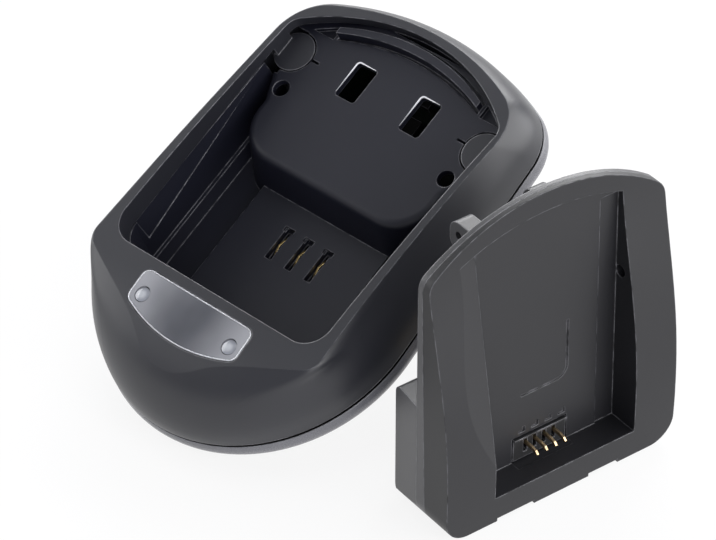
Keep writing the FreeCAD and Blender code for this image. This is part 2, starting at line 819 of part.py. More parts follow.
def reckon(words):
    """Small sum reader: plus, minus, times, divide and brackets."""
    spot = [0]

    def atom():
        word = words[spot[0]]
        spot[0] += 1
        if word == "(":
            value = total()
            spot[0] += 1
            return value
        if word == "-":
            return -atom()
        return size(word) if word in SIZES else float(word)

    def product():
        value = atom()
        while spot[0] < len(words) and words[spot[0]] in "*/":
            sign = words[spot[0]]
            spot[0] += 1
            other = atom()
            value = value * other if sign == "*" else value / other
        return value

    def total():
        value = product()
        while spot[0] < len(words) and words[spot[0]] in "+-":
            sign = words[spot[0]]
            spot[0] += 1
            other = product()
            value = value + other if sign == "+" else value - other
        return value

    return total()


# Remaining base pieces


def make_case_screws():
    """Four equal case screws, heads in the belly, ends in the cover bosses."""
    seat, top = size("screw_seat"), size("screw_top")
    screws = []
    for x, y in NEAR_BOSSES + FAR_BOSSES:
        shank = tube(x, y, seat - 0.5, top, size("screw_r"))
        head = tube(x, y, seat - size("screw_head_h"), seat, size("screw_head_r"))
        drive = Part.makeBox(2.6, 0.6, 0.8, Vector(x - 1.3, y - 0.3, seat - size("screw_head_h") - 0.01))
        cross = Part.makeBox(0.6, 2.6, 0.8, Vector(x - 0.3, y - 1.3, seat - size("screw_head_h") - 0.01))
        screws.append(shank.fuse(head).cut(drive).cut(cross).removeSplitter())
    return Part.makeCompound(screws)


FEET = pairs(size("foot_x"), size("foot_y")) + pairs(size("rear_foot_x"), size("rear_foot_y"))


def make_rubber_feet():
    """Four soft feet under the belly."""
    bottom = size("tray_bottom")
    feet = []
    for x, y in FEET:
        foot = tube(x, y, bottom - size("foot_high"), bottom, size("foot_r"))
        rim = [e for e in foot.Edges if abs(e.BoundBox.ZMax - (bottom - size("foot_high"))) < 0.01]
        feet.append(foot.makeFillet(FOOT_EDGE, rim[:1]))
    return Part.makeCompound(feet)


# The base rests on the front feet and on the two plug pins
TILT = math.radians(size("tilt_deg"))
FOOT_EDGE = 0.5
PIN_EDGE = 1.2


def lowest(y, z, edge):
    """Height of a rounded lower near edge once the base is tilted."""
    return (y + edge) * math.sin(TILT) + (z + edge) * math.cos(TILT) - edge


FOOT_LOW = lowest(size("foot_y") - size("foot_r"), size("tray_bottom") - size("foot_high"), FOOT_EDGE)
PIN_NEAR = HEAD_Y - size("pin_r")
PIN_TIP_Z = (FOOT_LOW + PIN_EDGE - (PIN_NEAR + PIN_EDGE) * math.sin(TILT)) / math.cos(TILT) - PIN_EDGE
HEAD_FACE_Z = PIN_TIP_Z + size("pin_long")
DOCK_TOP = size("tray_bottom") + size("dock_deep")
STUD_TOP = -6.8


def make_plug_head():
    """Round turning plug head with a hub, grip hollows and two pin bores."""
    y, radius = HEAD_Y, size("head_r")
    body = tube(0, y, HEAD_FACE_Z, DOCK_TOP, radius)
    rim = [e for e in body.Edges if abs(e.BoundBox.ZMax - HEAD_FACE_Z) < 0.01]
    body = body.makeFillet(1.6, rim[:1])
    body = body.fuse(tube(0, y, DOCK_TOP - 1, DOCK_TOP + 1.6, 4.0))
    for turn in range(12):
        angle = math.radians(30 * turn + 15)
        groove_x = (radius + 0.5) * math.cos(angle)
        groove_y = y + (radius + 0.5) * math.sin(angle)
        body = body.cut(tube(groove_x, groove_y, HEAD_FACE_Z - 1, size("tray_bottom") - 3.0, 1.5))
    for side in (-1, 1):
        body = body.cut(tube(side * size("pin_x"), y, HEAD_FACE_Z - 5, DOCK_TOP + 1, 1.55))
    return body.removeSplitter()


SLEEVE_LONG = 10.0


def make_plug_pins():
    """Two round pins: thin cores through the head, full tips below the sleeves."""
    pins = []
    for side in (-1, 1):
        x, y = side * size("pin_x"), HEAD_Y
        core = tube(x, y, HEAD_FACE_Z - SLEEVE_LONG - 0.5, STUD_TOP, 1.5)
        tip = tube(x, y, PIN_TIP_Z, HEAD_FACE_Z - SLEEVE_LONG, size("pin_r"))
        edge = [e for e in tip.Edges if abs(e.BoundBox.ZMax - PIN_TIP_Z) < 0.01]
        tip = tip.makeFillet(PIN_EDGE, edge[:1])
        pins.append(core.fuse(tip).removeSplitter())
    return Part.makeCompound(pins)


def make_pin_sleeves():
    """Insulating sleeves round the upper half of each pin."""
    sleeves = []
    for side in (-1, 1):
        x, y = side * size("pin_x"), HEAD_Y
        sleeves.append(tube(x, y, HEAD_FACE_Z - SLEEVE_LONG, HEAD_FACE_Z, size("pin_r"), 1.55))
    return Part.makeCompound(sleeves)


def make_plug_contacts():
    """Two curved pick-up strips under the main board."""
    strips = []
    for side in (-1, 1):
        strips.append(arc_slot(side, BOARD_LOW - 0.3, BOARD_LOW))
    return Part.makeCompound(strips)


BOARD_LOW = -6.4
BOARD_TOP = -4.8
CARRIER_LOW = -7.6


def make_well_contact(index):
    """Sprung blade just below the floor in one of the well slots."""
    x = index * size("contact_pitch") - BLADE_SIDE
    near = size("contact_slot_near")
    foot = CARRIER_LOW + 0.6
    top = size("well_z") - BLADE_SUNK
    points = [
        (near + 0.9, foot),
        (near + 7.2, foot),
        (near + 7.2, top - 1.4),
        (near + 5.8, top - 0.5),
        (near + 4.2, top),
        (near + 2.6, top - 0.5),
        (near + 0.9, top - 1.5),
    ]
    return polygon_block(points, "x", x - BLADE_THICK / 2, BLADE_THICK)


BLADE_THICK = 0.45
BLADE_SIDE = 0.3
BLADE_SUNK = 0.9
CARRIER_LONG = 11.4


def make_contact_carrier():
    """Moulded block under the well floor that guides the three blades."""
    top = size("well_z") - size("cradle_wall")
    near = size("contact_slot_near")
    body = Part.makeBox(19.0, CARRIER_LONG, top - CARRIER_LOW, Vector(-9.5, near - 1.4, CARRIER_LOW))
    for index in (-1, 0, 1):
        x = index * size("contact_pitch")
        body = body.cut(Part.makeBox(1.6, 6.9, 8, Vector(x - 0.8, near + 0.6, CARRIER_LOW - 1)))
    return body


def make_lamp_ribbon():
    """Flat cable from the indicator board under the well to the main board."""
    left, wide, thick = -13.6, 3.6, 0.8
    drop = Part.makeBox(wide, thick, 8.0 - TRAY_FLOOR, Vector(left, 21.6, TRAY_FLOOR))
    run = Part.makeBox(wide, 56.5 - 21.6, thick, Vector(left, 21.6, TRAY_FLOOR))
    rise = Part.makeBox(wide, thick, BOARD_LOW - TRAY_FLOOR, Vector(left, 56.5 - thick, TRAY_FLOOR))
    end = Part.makeBox(wide, 64.5 - 56.5 + thick, 0.6, Vector(left, 56.5 - thick, BOARD_LOW - 0.6))
    return drop.fuse(run).fuse(rise).fuse(end).removeSplitter()


# Adapter plate pieces, in the plate frame

PLATE_HALF = size("recess_half") - size("plate_gap")
PLATE_SIDE = size("recess_corner_y") - size("recess_near") - size("plate_gap")
PLATE_TOP = size("recess_far") - size("recess_near") - 2 * size("plate_gap")

# Height up the plate and how far the front stands before the back plane
FRONT = [(0.0, 10.2), (12.0, 10.6), (31.0, 9.4), (47.0, 6.4), (62.0, 3.4), (76.0, 2.3)]


def plate_outline(grow, start, span):
    """Prism of the plate outline standing upright, from start over span along y."""
    solid, _ = rounded_outline(0, PLATE_HALF + grow, -grow, PLATE_SIDE, PLATE_TOP + grow,
                               size("plate_low_r") + grow, size("plate_high_r") + grow)
    for face in solid.Faces:
        if abs(face.CenterOfMass.z) < 1e-6 and abs(face.normalAt(0, 0).z) > 0.9:
            base = face.copy()
    base.rotate(Vector(), Vector(1, 0, 0), 90)
    base.translate(Vector(0, start, 0))
    return base.extrude(Vector(0, span, 0))


def front_body():
    """Everything behind the bulging front face and before the back plane."""
    curve = Part.BSplineCurve()
    curve.interpolate([Vector(0, -t, z) for z, t in FRONT])
    first, last = FRONT[0], FRONT[-1]
    edges = [
        curve.toShape(),
        Part.LineSegment(Vector(0, -last[1], last[0]), Vector(0, 30, last[0])).toShape(),
        Part.LineSegment(Vector(0, 30, last[0]), Vector(0, 30, -5)).toShape(),
        Part.LineSegment(Vector(0, 30, -5), Vector(0, -first[1] + 0.3, -5)).toShape(),
        Part.LineSegment(Vector(0, -first[1] + 0.3, -5), Vector(0, -first[1], 0)).toShape(),
    ]
    face = Part.Face(Part.Wire(edges))
    face.translate(Vector(-50, 0, 0))
    return face.extrude(Vector(100, 0, 0))


def leaning_block(extra, deep):
    """Block behind the leaning parting plane moved forward by extra."""
    low = -size("part_low") - extra
    high = -size("part_high") - extra
    top = PLATE_TOP
    slope = (high - low) / top
    points = [(low - 5 * slope, -5), (high + 10 * slope, top + 10), (deep, top + 10), (deep, -5)]
    return polygon_block(points, "x", -50, 100)


FLOOR_SKIN = 0.8


def bay_cutter():
    """Battery bay: straight walls, arched top, sloped facet at the left, open to the front."""
    left, right, low = size("bay_left"), size("bay_right"), size("bay_low")
    inset = size("bay_top_inset")
    room = plate_outline(-inset, -40, 60)
    window = Part.makeBox(right - left, 60, 90, Vector(left, -40, low))
    bay = room.common(window)
    facet_top = round(PLATE_TOP - 6.1, 3)
    edge = round(1.0 - PLATE_HALF, 3)
    points = [
        Vector(left, -9.9, 19.0), Vector(-23.4, -3.0, facet_top), Vector(left, -1.4, facet_top),
    ]
    normal = (points[1] - points[0]).cross(points[2] - points[0]).normalize()
    if normal.y > 0:
        normal = normal * -1
    sheet = Part.Face(Part.makePolygon([
        Vector(left, plane_y(points[0], normal, left, 5.0), 5.0),
        Vector(edge, plane_y(points[0], normal, edge, 5.0), 5.0),
        Vector(edge, plane_y(points[0], normal, edge, PLATE_TOP), PLATE_TOP),
        Vector(left, plane_y(points[0], normal, left, PLATE_TOP), PLATE_TOP),
        Vector(left, plane_y(points[0], normal, left, 5.0), 5.0),
    ]))
    wedge = sheet.extrude(Vector(0, -30, 0)).common(room)
    return bay.cut(leaning_block(FLOOR_SKIN, 60)).fuse(wedge)


def plane_y(origin, normal, x, z):
    """Depth of a plane at x and z."""
    return origin.y - (normal.x * (x - origin.x) + normal.z * (z - origin.z)) / normal.y


HOLDER_LEFT, HOLDER_RIGHT = -7.6, 6.2
HOLDER_LOW, HOLDER_HIGH = 6.9, 12.6
HOLDER_FRONT = -3.6


def make_adapter_frame():
    """Front frame of the plate with the battery bay, its thin floor and small bay details."""
    body = plate_outline(0, -20, 20).common(front_body()).cut(leaning_block(0, 60)).cut(bay_cutter())
    right = size("bay_right")
    strip = Part.makeBox(size("bay_strip"), 30, PLATE_TOP - 8.1 - size("bay_low"),
                         Vector(right - size("bay_strip"), -25, size("bay_low")))
    body = body.cut(strip.cut(leaning_block(STRIP_SKIN, 60)))
    opening = Part.makeBox(HOLDER_RIGHT - HOLDER_LEFT + 0.6, 12, HOLDER_HIGH - HOLDER_LOW + 0.6,
                           Vector(HOLDER_LEFT - 0.3, -6, HOLDER_LOW - 0.3))
    body = body.cut(opening).cut(plate_rib_relief())
    for x, z in PLATE_SCREWS:
        body = body.cut(lying(x, z, -size("part_high") - 3.4, 1, 0.95))
    body = body.cut(lying_side(right - 0.5, right + 3.0, -3.6, 44.5, 1.4))
    for x in (-4.5, -1.0, 2.5, 6.0):
        body = body.cut(floor_notch(x, 14.2))
    for start, end in FOOT_GAPS:
        gap = Part.makeBox(end - start, 30, 2 * FOOT_GAP_HIGH, Vector(start, -25, -FOOT_GAP_HIGH))
        body = body.cut(gap)
    return body.cut(label_groove()).removeSplitter()


STRIP_SKIN = 0.35
# Shallow gaps along the lower edge that leave three feet
FOOT_GAPS = [(-16.6, -6.9), (7.5, 15.3)]
FOOT_GAP_HIGH = 0.8


def shallow(block, depth):
    """The part of a block within a depth below the bay floor."""
    layer = leaning_block(FLOOR_SKIN + 1, 60).cut(leaning_block(FLOOR_SKIN - depth, 60))
    return block.common(layer)


def floor_notch(x, z):
    """Small bracket-shaped notch in the bay floor."""
    flat = Part.makeBox(1.7, 20, 0.5, Vector(x - 1.7, -10, z - 0.5))
    upright = Part.makeBox(0.6, 20, 1.3, Vector(x - 0.6, -10, z - 0.5))
    return shallow(flat.fuse(upright), 0.4)


def label_groove():
    """Shallow line along the right and lower edge of the bare label place on the bay floor."""
    left, right, low, high = -5.6, 6.6, 23.0, 37.4
    wide, radius = 0.5, 3.0
    outer = Part.makeBox(right - left, 20, high - low, Vector(left, -10, low))
    inner = Part.makeBox(right - left, 22, high - low, Vector(left - wide, -11, low + wide))
    outer = outer.makeFillet(radius, label_corner(outer, right, low))
    inner = inner.makeFillet(radius - wide, label_corner(inner, right - wide, low + wide))
    return shallow(outer.cut(inner), 0.35)


def label_corner(block, x, z):
    """The one edge of a block that runs along y through x and z."""
    return [e for e in block.Edges if e.BoundBox.YLength > 5
            and abs(e.BoundBox.XMin - x) < 0.01 and abs(e.BoundBox.ZMin - z) < 0.01]


def plate_rib_relief():
    """Room for the deck rib when the plate is docked."""
    inset = size("rib_inset") - size("plate_gap") - 0.3
    outer = plate_outline(-inset, -1.4, 2.0)
    inner = plate_outline(-inset - size("rib_thick") - 0.6, -2, 4)
    half = size("rib_half") + 0.5
    return outer.cut(inner).common(Part.makeBox(2 * half, 10, 30, Vector(-half, -5, 55)))


PLATE_SCREWS = [(-26.0, 34.0), (26.0, 34.0), (-26.0, 50.0), (26.0, 50.0)]


def lying(x, z, start, end, radius):
    """Rod lying along the depth."""
    return Part.makeCylinder(radius, end - start, Vector(x, start, z), Vector(0, 1, 0))


def lying_side(start, end, y, z, radius):
    """Rod lying across the plate."""
    return Part.makeCylinder(radius, end - start, Vector(start, y, z), Vector(1, 0, 0))


def box_block(inset, back, low, high):
    """Rear box volume, its sides drawn in towards the back."""
    half_front = PLATE_HALF - 0.2 - inset
    half_back = PLATE_HALF - 1.5 - inset
    points = [(-half_front, -0.5), (half_front, -0.5), (half_back, back), (-half_back, back)]
    return polygon_block(points, "z", low, high - low)


def make_adapter_back():
    """Back piece: strip behind the frame, rear box and two long hook lugs."""
    strip = plate_outline(0, -20, 20).common(leaning_block(0, 0))
    deep, high, wall = size("box_deep"), size("box_high"), size("box_wall")
    block = box_block(0, deep, 0, high)
    rear = [e for e in block.Edges if abs(e.BoundBox.YMin - deep) < 0.01 and e.BoundBox.XLength > 20]
    rear.sort(key=lambda e: e.BoundBox.ZMin)
    for edge, radius in zip(rear, (size("box_low_r"), size("box_top_r"))):
        place = edge.CenterOfMass
        edge_now = [e for e in block.Edges if (e.CenterOfMass - place).Length < 0.01]
        block = block.makeFillet(radius, edge_now)
    block = block.common(plate_outline(0, -20, 60))
    body = strip.fuse(block.cut(leaning_block(0.0, 0).cut(slab_y(-5, 0))))
    room = box_block(wall, deep - wall, wall, high - wall)
    body = body.cut(room)
    front_room = Part.makeBox(2 * PLATE_HALF - 6.0, 10, high - 2 * wall,
                              Vector(-PLATE_HALF + 3.0, -6, wall))
    body = body.cut(front_room)
    for side in (-1, 1):
        body = body.fuse(hook_lug(side))
    for x, z in ((-17.0, 6.5), (17.0, 6.5), (-17.0, 23.5), (17.0, 23.5)):
        body = body.fuse(lying(x, z, BOARD_BACK, deep - wall + 0.2, 2.0))
    near = size("contact_slot_near") - size("recess_near") - size("plate_gap")
    for index in (-1, 0, 1):
        x = index * size("contact_pitch")
        body = body.cut(Part.makeBox(2.8, 6, 8.5, Vector(x - 1.4, deep - wall - 0.5, near - 0.1)))
    for x, z in PLATE_SCREWS:
        body = body.cut(lying(x, z, -5, 1, 1.1))
        body = body.cut(lying(x, z, -0.8, 1, 2.1))
    return body.cut(plate_rib_relief()).removeSplitter()


def slab_y(low, high):
    """Block between two depths."""
    return Part.makeBox(120, high - low, 160, Vector(-60, low, -20))


BOARD_BACK = 6.8
BOARD_FRONT = 5.2


def hook_lug(side):
    """Long flat lug with a rounded end and a small hole, reaching through a deck slot."""
    wide, high = size("lug_wide"), size("lug_high")
    reach, mid = size("lug_reach"), size("lug_z")
    x = side * size("slot_x")
    arm = Part.makeBox(wide, reach + 0.5, high, Vector(x - wide / 2, -0.5, mid - high / 2))
    tip = [e for e in arm.Edges if e.BoundBox.XLength > 1 and abs(e.BoundBox.YMin - reach) < 0.01]
    arm = arm.makeFillet(2.6, tip)
    return arm.cut(lying_side(x - 5, x + 5, reach - 2.9, mid + 0.4, 1.0))


def make_adapter_screws():
    """Four small screws holding the two plate pieces together from behind."""
    screws = []
    for x, z in PLATE_SCREWS:
        shank = lying(x, z, -size("part_high") - 3.2, -0.5, 0.9)
        head = lying(x, z, -0.8, -0.05, 1.9)
        slot = Part.makeBox(2.2, 0.5, 0.5, Vector(x - 1.1, -0.4, z - 0.25))
        screws.append(shank.fuse(head).cut(slot).removeSplitter())
    return Part.makeCompound(screws)


def battery_pin_x(index):
    """Place of one battery contact across the bay."""
    return size("pin_first") + index * size("pin_pitch")


def make_battery_contact(index):
    """Sprung strip contact that reaches into the bay and hooks down at its tip."""
    x = battery_pin_x(index)
    points = [
        (3.6, 11.2), (-6.0, 11.2), (-7.2, 10.9), (-7.9, 10.2),
        (-7.4, 9.7), (-6.7, 10.2), (-5.8, 10.4), (3.6, 10.4),
    ]
    return polygon_block(points, "x", x - 0.25, 0.5)


def make_contact_holder():
    """Moulded block through the bay floor that guides the four strips, with a fine ridge above."""
    wide = HOLDER_RIGHT - HOLDER_LEFT
    body = Part.makeBox(wide, BOARD_FRONT - HOLDER_FRONT, HOLDER_HIGH - HOLDER_LOW,
                        Vector(HOLDER_LEFT, HOLDER_FRONT, HOLDER_LOW))
    for index in range(4):
        x = battery_pin_x(index)
        body = body.cut(Part.makeBox(1.0, 14, 3.4, Vector(x - 0.5, -6, 8.4)))
    ridge = Part.makeBox(wide, 0.7, 0.4, Vector(HOLDER_LEFT, HOLDER_FRONT - 0.5, HOLDER_HIGH - 0.4))
    return body.fuse(ridge).removeSplitter()


PAD_WIDE = 1.3
PAD_HIGH = 7.3
# The pads reach a little below the well floor when the plate is on
PAD_END = 10.35


def make_pickup_pads():
    """Three pads reaching through the rear box to the well contacts."""
    near = size("contact_slot_near") - size("recess_near") - size("plate_gap")
    pads = []
    for index in (-1, 0, 1):
        x = index * size("contact_pitch")
        corner = Vector(x - PAD_WIDE / 2, BOARD_BACK, near + 0.5)
        pads.append(Part.makeBox(PAD_WIDE, PAD_END - BOARD_BACK, PAD_HIGH, corner))
    return Part.makeCompound(pads)


# Boards and parts drawn with sketches and plain solids


def spaced(value):
    """Number written with its minus sign apart, as the formulas need it."""
    return str(value).replace("-", "- ")


def draw_main_board():
    """Main board with two openings that leave room for the plate's hook lugs."""
    corners = [("- 22", "63"), ("22", "63"), ("22", "95"), ("- 22", "95")]
    body = outline_body("main_board", corners, spaced(BOARD_LOW), spaced(BOARD_TOP))
    cutter = body.newObject("Sketcher::SketchObject", "lug_openings")
    cutter.AttachmentSupport = [(plane_of(body, "XY_Plane"), "")]
    cutter.MapMode = "FlatFace"
    for side in ("-", ""):
        inner, outer = "slot_x - 3", "slot_x + 3"
        if side:
            inner, outer = "- slot_x - 3", "3 - slot_x"
        rect(cutter, inner, outer, "slot_near + 0.4", "slot_far + 0.2")
    pocket = body.newObject("PartDesign::Pocket", "lug_room")
    pocket.Profile = cutter
    pocket.Type = "ThroughAll"
    pocket.Midplane = True
    return body


def rect(sketch, left, right, near, far):
    """Closed rectangle in a sketch, its corners fixed by formulas."""
    corners = [(left, near), (right, near), (right, far), (left, far)]
    values = [(number(x), number(y)) for x, y in corners]
    items = []
    for index in range(4):
        a, b = values[index], values[(index + 1) % 4]
        items.append(sketch.addGeometry(Part.LineSegment(Vector(a[0], a[1], 0), Vector(b[0], b[1], 0))))
    for index in range(4):
        pin_point(sketch, items[index], 1, corners[index])
        sketch.addConstraint(Sketcher.Constraint("Coincident", items[index], 2, items[(index + 1) % 4], 1))


def draw_indicator_board():
    """Small board under the status window."""
    corners = [("- window_half + 1.6", "15.5"), ("window_half - 1.6", "15.5"),
               ("window_half - 1.6", "window_top - 0.8"), ("- window_half + 1.6", "window_top - 0.8")]
    return outline_body("indicator_board", corners, "8", str(LAMP_BOARD_TOP))


def draw_transformer():
    """Transformer: bobbin block between two ferrite cheeks."""
    low = "- 4.8"
    core = box("ferrite_core", ("- 12", "65.5", low), ("24", "14", "9.6"))
    window_low = box("winding_room_low", ("- 7", "64", "- 3.2"), ("2.6", "17", "6.4"))
    window_high = box("winding_room_high", ("4.4", "64", "- 3.2"), ("2.6", "17", "6.4"))
    return less("transformer", core, [window_low, window_high])


def draw_input_capacitor():
    """Mains smoothing capacitor standing on the main board."""
    can = rod("input_capacitor_can", ("17.2", "72.5", "- 4.8"), "4.5", "9.6")
    return group("input_capacitor", [can])


def draw_output_capacitors():
    """Two smaller smoothing capacitors."""
    first = rod("output_capacitor_near", ("- 17", "68", "- 4.8"), "3", "8")
    second = rod("output_capacitor_far", ("- 17", "75.5", "- 4.8"), "3", "8")
    return group("output_capacitors", [first, second])


def draw_control_chips():
    """Charge controller and its switch."""
    first = box("charge_chip", ("- 3.5", "82.4", "- 4.8"), ("7", "5", "1.6"))
    second = box("switch_chip", ("- 2.5", "90.6", "- 4.8"), ("5", "3.4", "1.6"))
    return group("control_chips", [first, second])


def draw_adapter_board():
    """Board inside the rear box, standing on its four pads."""
    face = "%s - %s" % (BOARD_BACK, BOARD_FRONT)
    sheet = box("adapter_board_sheet", ("- 20", str(BOARD_FRONT), "4"), ("40", face, "22"))
    return group("adapter_board", [sheet])


# The node names and how each piece is made, base pieces first


BASE_SHAPES = {
    "top_cover": make_top_cover,
    "bottom_tray": make_bottom_tray,
    "cradle": make_cradle,
    "status_window": make_status_window,
    "window_backing": make_window_backing,
    "status_lamp": lambda: lamp(-size("led_x")),
    "charge_lamp": lambda: lamp(size("led_x")),
    "contact_carrier": make_contact_carrier,
    "well_contact_left": lambda: make_well_contact(-1),
    "well_contact_middle": lambda: make_well_contact(0),
    "well_contact_right": lambda: make_well_contact(1),
    "lamp_ribbon": make_lamp_ribbon,
    "case_screws": make_case_screws,
    "rubber_feet": make_rubber_feet,
    "plug_head": make_plug_head,
    "plug_pins": make_plug_pins,
    "pin_sleeves": make_pin_sleeves,
    "plug_contacts": make_plug_contacts,
}
BASE_DRAWN = [
    draw_main_board, draw_indicator_board, draw_transformer, draw_input_capacitor,
    draw_output_capacitors, draw_control_chips,
]
PLATE_SHAPES = {
    "adapter_frame": make_adapter_frame,
    "adapter_back": make_adapter_back,
    "contact_holder": make_contact_holder,
    "battery_contact_1": lambda: make_battery_contact(0),
    "battery_contact_2": lambda: make_battery_contact(1),
    "battery_contact_3": lambda: make_battery_contact(2),
    "battery_contact_4": lambda: make_battery_contact(3),
    "pickup_pads": make_pickup_pads,
    "adapter_screws": make_adapter_screws,
}
PLATE_DRAWN = [draw_adapter_board]

BASE_POSE = Placement(Vector(size("base_x"), size("base_y"), -FOOT_LOW),
                      Rotation(Vector(1, 0, 0), size("tilt_deg")))
PLATE_POSE = Placement(Vector(size("plate_x"), size("plate_y"), 0),
                       Rotation(Vector(0, 0, 1), size("plate_yaw")))


def build(shapes, drawn, pose):
    """Make every piece of one group and set it in its pose."""
    nodes = []
    for name, maker in shapes.items():
        nodes.append(shaped(name, maker()))
    for maker in drawn:
        nodes.append(maker())
    DOC.recompute()
    for node in nodes:
        node.Placement = pose.multiply(node.Placement)
    DOC.recompute()
    return nodes


def main():
    """Build, check and export every node."""
    nodes = build(BASE_SHAPES, BASE_DRAWN, BASE_POSE) + build(PLATE_SHAPES, PLATE_DRAWN, PLATE_POSE)
    for thing in DOC.Objects:
        if "Invalid" in thing.State or "Error" in thing.State:
            raise RuntimeError("broken object " + thing.Name)
    os.makedirs("parts", exist_ok=True)
    for node in nodes:
        shape = node.Shape
        if shape.isNull() or not shape.isValid() or not shape.Solids:
            raise RuntimeError("bad shape " + node.Label)
        shape.exportStep("parts/%s.step" % node.Label)
        box_now = shape.optimalBoundingBox()
        print("%-22s solids %d  volume %9.1f  x %.1f..%.1f y %.1f..%.1f z %.1f..%.1f" % (
            node.Label, len(shape.Solids), shape.Volume, box_now.XMin, box_now.XMax,
            box_now.YMin, box_now.YMax, box_now.ZMin, box_now.ZMax))


main()
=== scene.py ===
"""Studio scene of a camera battery charger with its lift-off adapter plate standing beside it."""

from __future__ import annotations

import json
import logging
import math
from dataclasses import dataclass, field
from enum import Enum
from typing import Any, Sequence

import bmesh
import bpy
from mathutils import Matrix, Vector

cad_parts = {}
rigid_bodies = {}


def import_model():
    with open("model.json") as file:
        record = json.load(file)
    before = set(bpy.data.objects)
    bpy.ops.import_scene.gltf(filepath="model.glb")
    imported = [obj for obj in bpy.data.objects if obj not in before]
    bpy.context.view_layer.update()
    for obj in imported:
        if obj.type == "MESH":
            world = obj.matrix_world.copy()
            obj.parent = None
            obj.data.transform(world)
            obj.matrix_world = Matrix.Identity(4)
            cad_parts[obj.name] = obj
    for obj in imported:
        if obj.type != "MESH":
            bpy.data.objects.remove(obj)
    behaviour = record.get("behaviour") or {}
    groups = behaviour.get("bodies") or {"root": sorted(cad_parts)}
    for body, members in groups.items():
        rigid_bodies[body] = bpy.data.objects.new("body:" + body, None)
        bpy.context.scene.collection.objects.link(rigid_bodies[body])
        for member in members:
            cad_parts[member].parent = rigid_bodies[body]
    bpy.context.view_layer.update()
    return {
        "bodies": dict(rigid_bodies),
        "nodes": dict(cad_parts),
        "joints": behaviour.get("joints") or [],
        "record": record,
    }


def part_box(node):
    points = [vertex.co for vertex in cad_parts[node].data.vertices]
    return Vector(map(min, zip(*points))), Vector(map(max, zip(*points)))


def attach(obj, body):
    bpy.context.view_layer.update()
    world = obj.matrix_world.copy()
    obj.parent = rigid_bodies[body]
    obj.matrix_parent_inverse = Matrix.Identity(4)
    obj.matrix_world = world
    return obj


LOG = logging.getLogger("charger")
MM = 0.001
BEVEL_SAMPLES = 6
# How far the rounded normal turns away where an edge mask starts and where it is full
EDGE_START = 0.008
EDGE_FULL = 0.12
Colour = tuple[float, float, float]
Point = tuple[float, float, float]
Span = tuple[float, float]


class Wire:
    """One shader value; plain arithmetic on it adds the Math nodes."""

    def __init__(self, bench: "Bench", socket: bpy.types.NodeSocket) -> None:
        """Hold a socket.

        Args:
            bench: The material bench that owns the socket.
            socket: The output socket that gives the value.
        """
        self.bench = bench
        self.socket = socket

    def _sum(self, operation: str, first: Any, second: Any) -> "Wire":
        """Add one Math node.

        Args:
            operation: The Math node's operation.
            first: Left operand, a number or a wire.
            second: Right operand, a number or a wire.

        Returns:
            The node's result.
        """
        return self.bench.make("ShaderNodeMath", {"operation": operation}, {0: first, 1: second})

    def __add__(self, other: Any) -> "Wire":
        """Add another value."""
        return self._sum("ADD", self, other)

    def __radd__(self, other: Any) -> "Wire":
        """Add to a number."""
        return self._sum("ADD", other, self)

    def __sub__(self, other: Any) -> "Wire":
        """Take a value away."""
        return self._sum("SUBTRACT", self, other)

    def __rsub__(self, other: Any) -> "Wire":
        """Take this from a number."""
        return self._sum("SUBTRACT", other, self)

    def __mul__(self, other: Any) -> "Wire":
        """Multiply by a value."""
        return self._sum("MULTIPLY", self, other)

    def __rmul__(self, other: Any) -> "Wire":
        """Multiply a number by this."""
        return self._sum("MULTIPLY", other, self)

    def least(self, other: Any) -> "Wire":
        """Give the smaller of two values."""
        return self._sum("MINIMUM", self, other)

    def ramp(self, low: float, high: float) -> "Wire":
        """Rise smoothly from 0 at low to 1 at high.

        Args:
            low: Value that gives 0.
            high: Value that gives 1.

        Returns:
            The smooth mask.
        """
        return self.bench.make(
            "ShaderNodeMapRange",
            {"interpolation_type": "SMOOTHSTEP"},
            {"Value": self, "From Min": low, "From Max": high, "To Min": 0.0, "To Max": 1.0},
        )


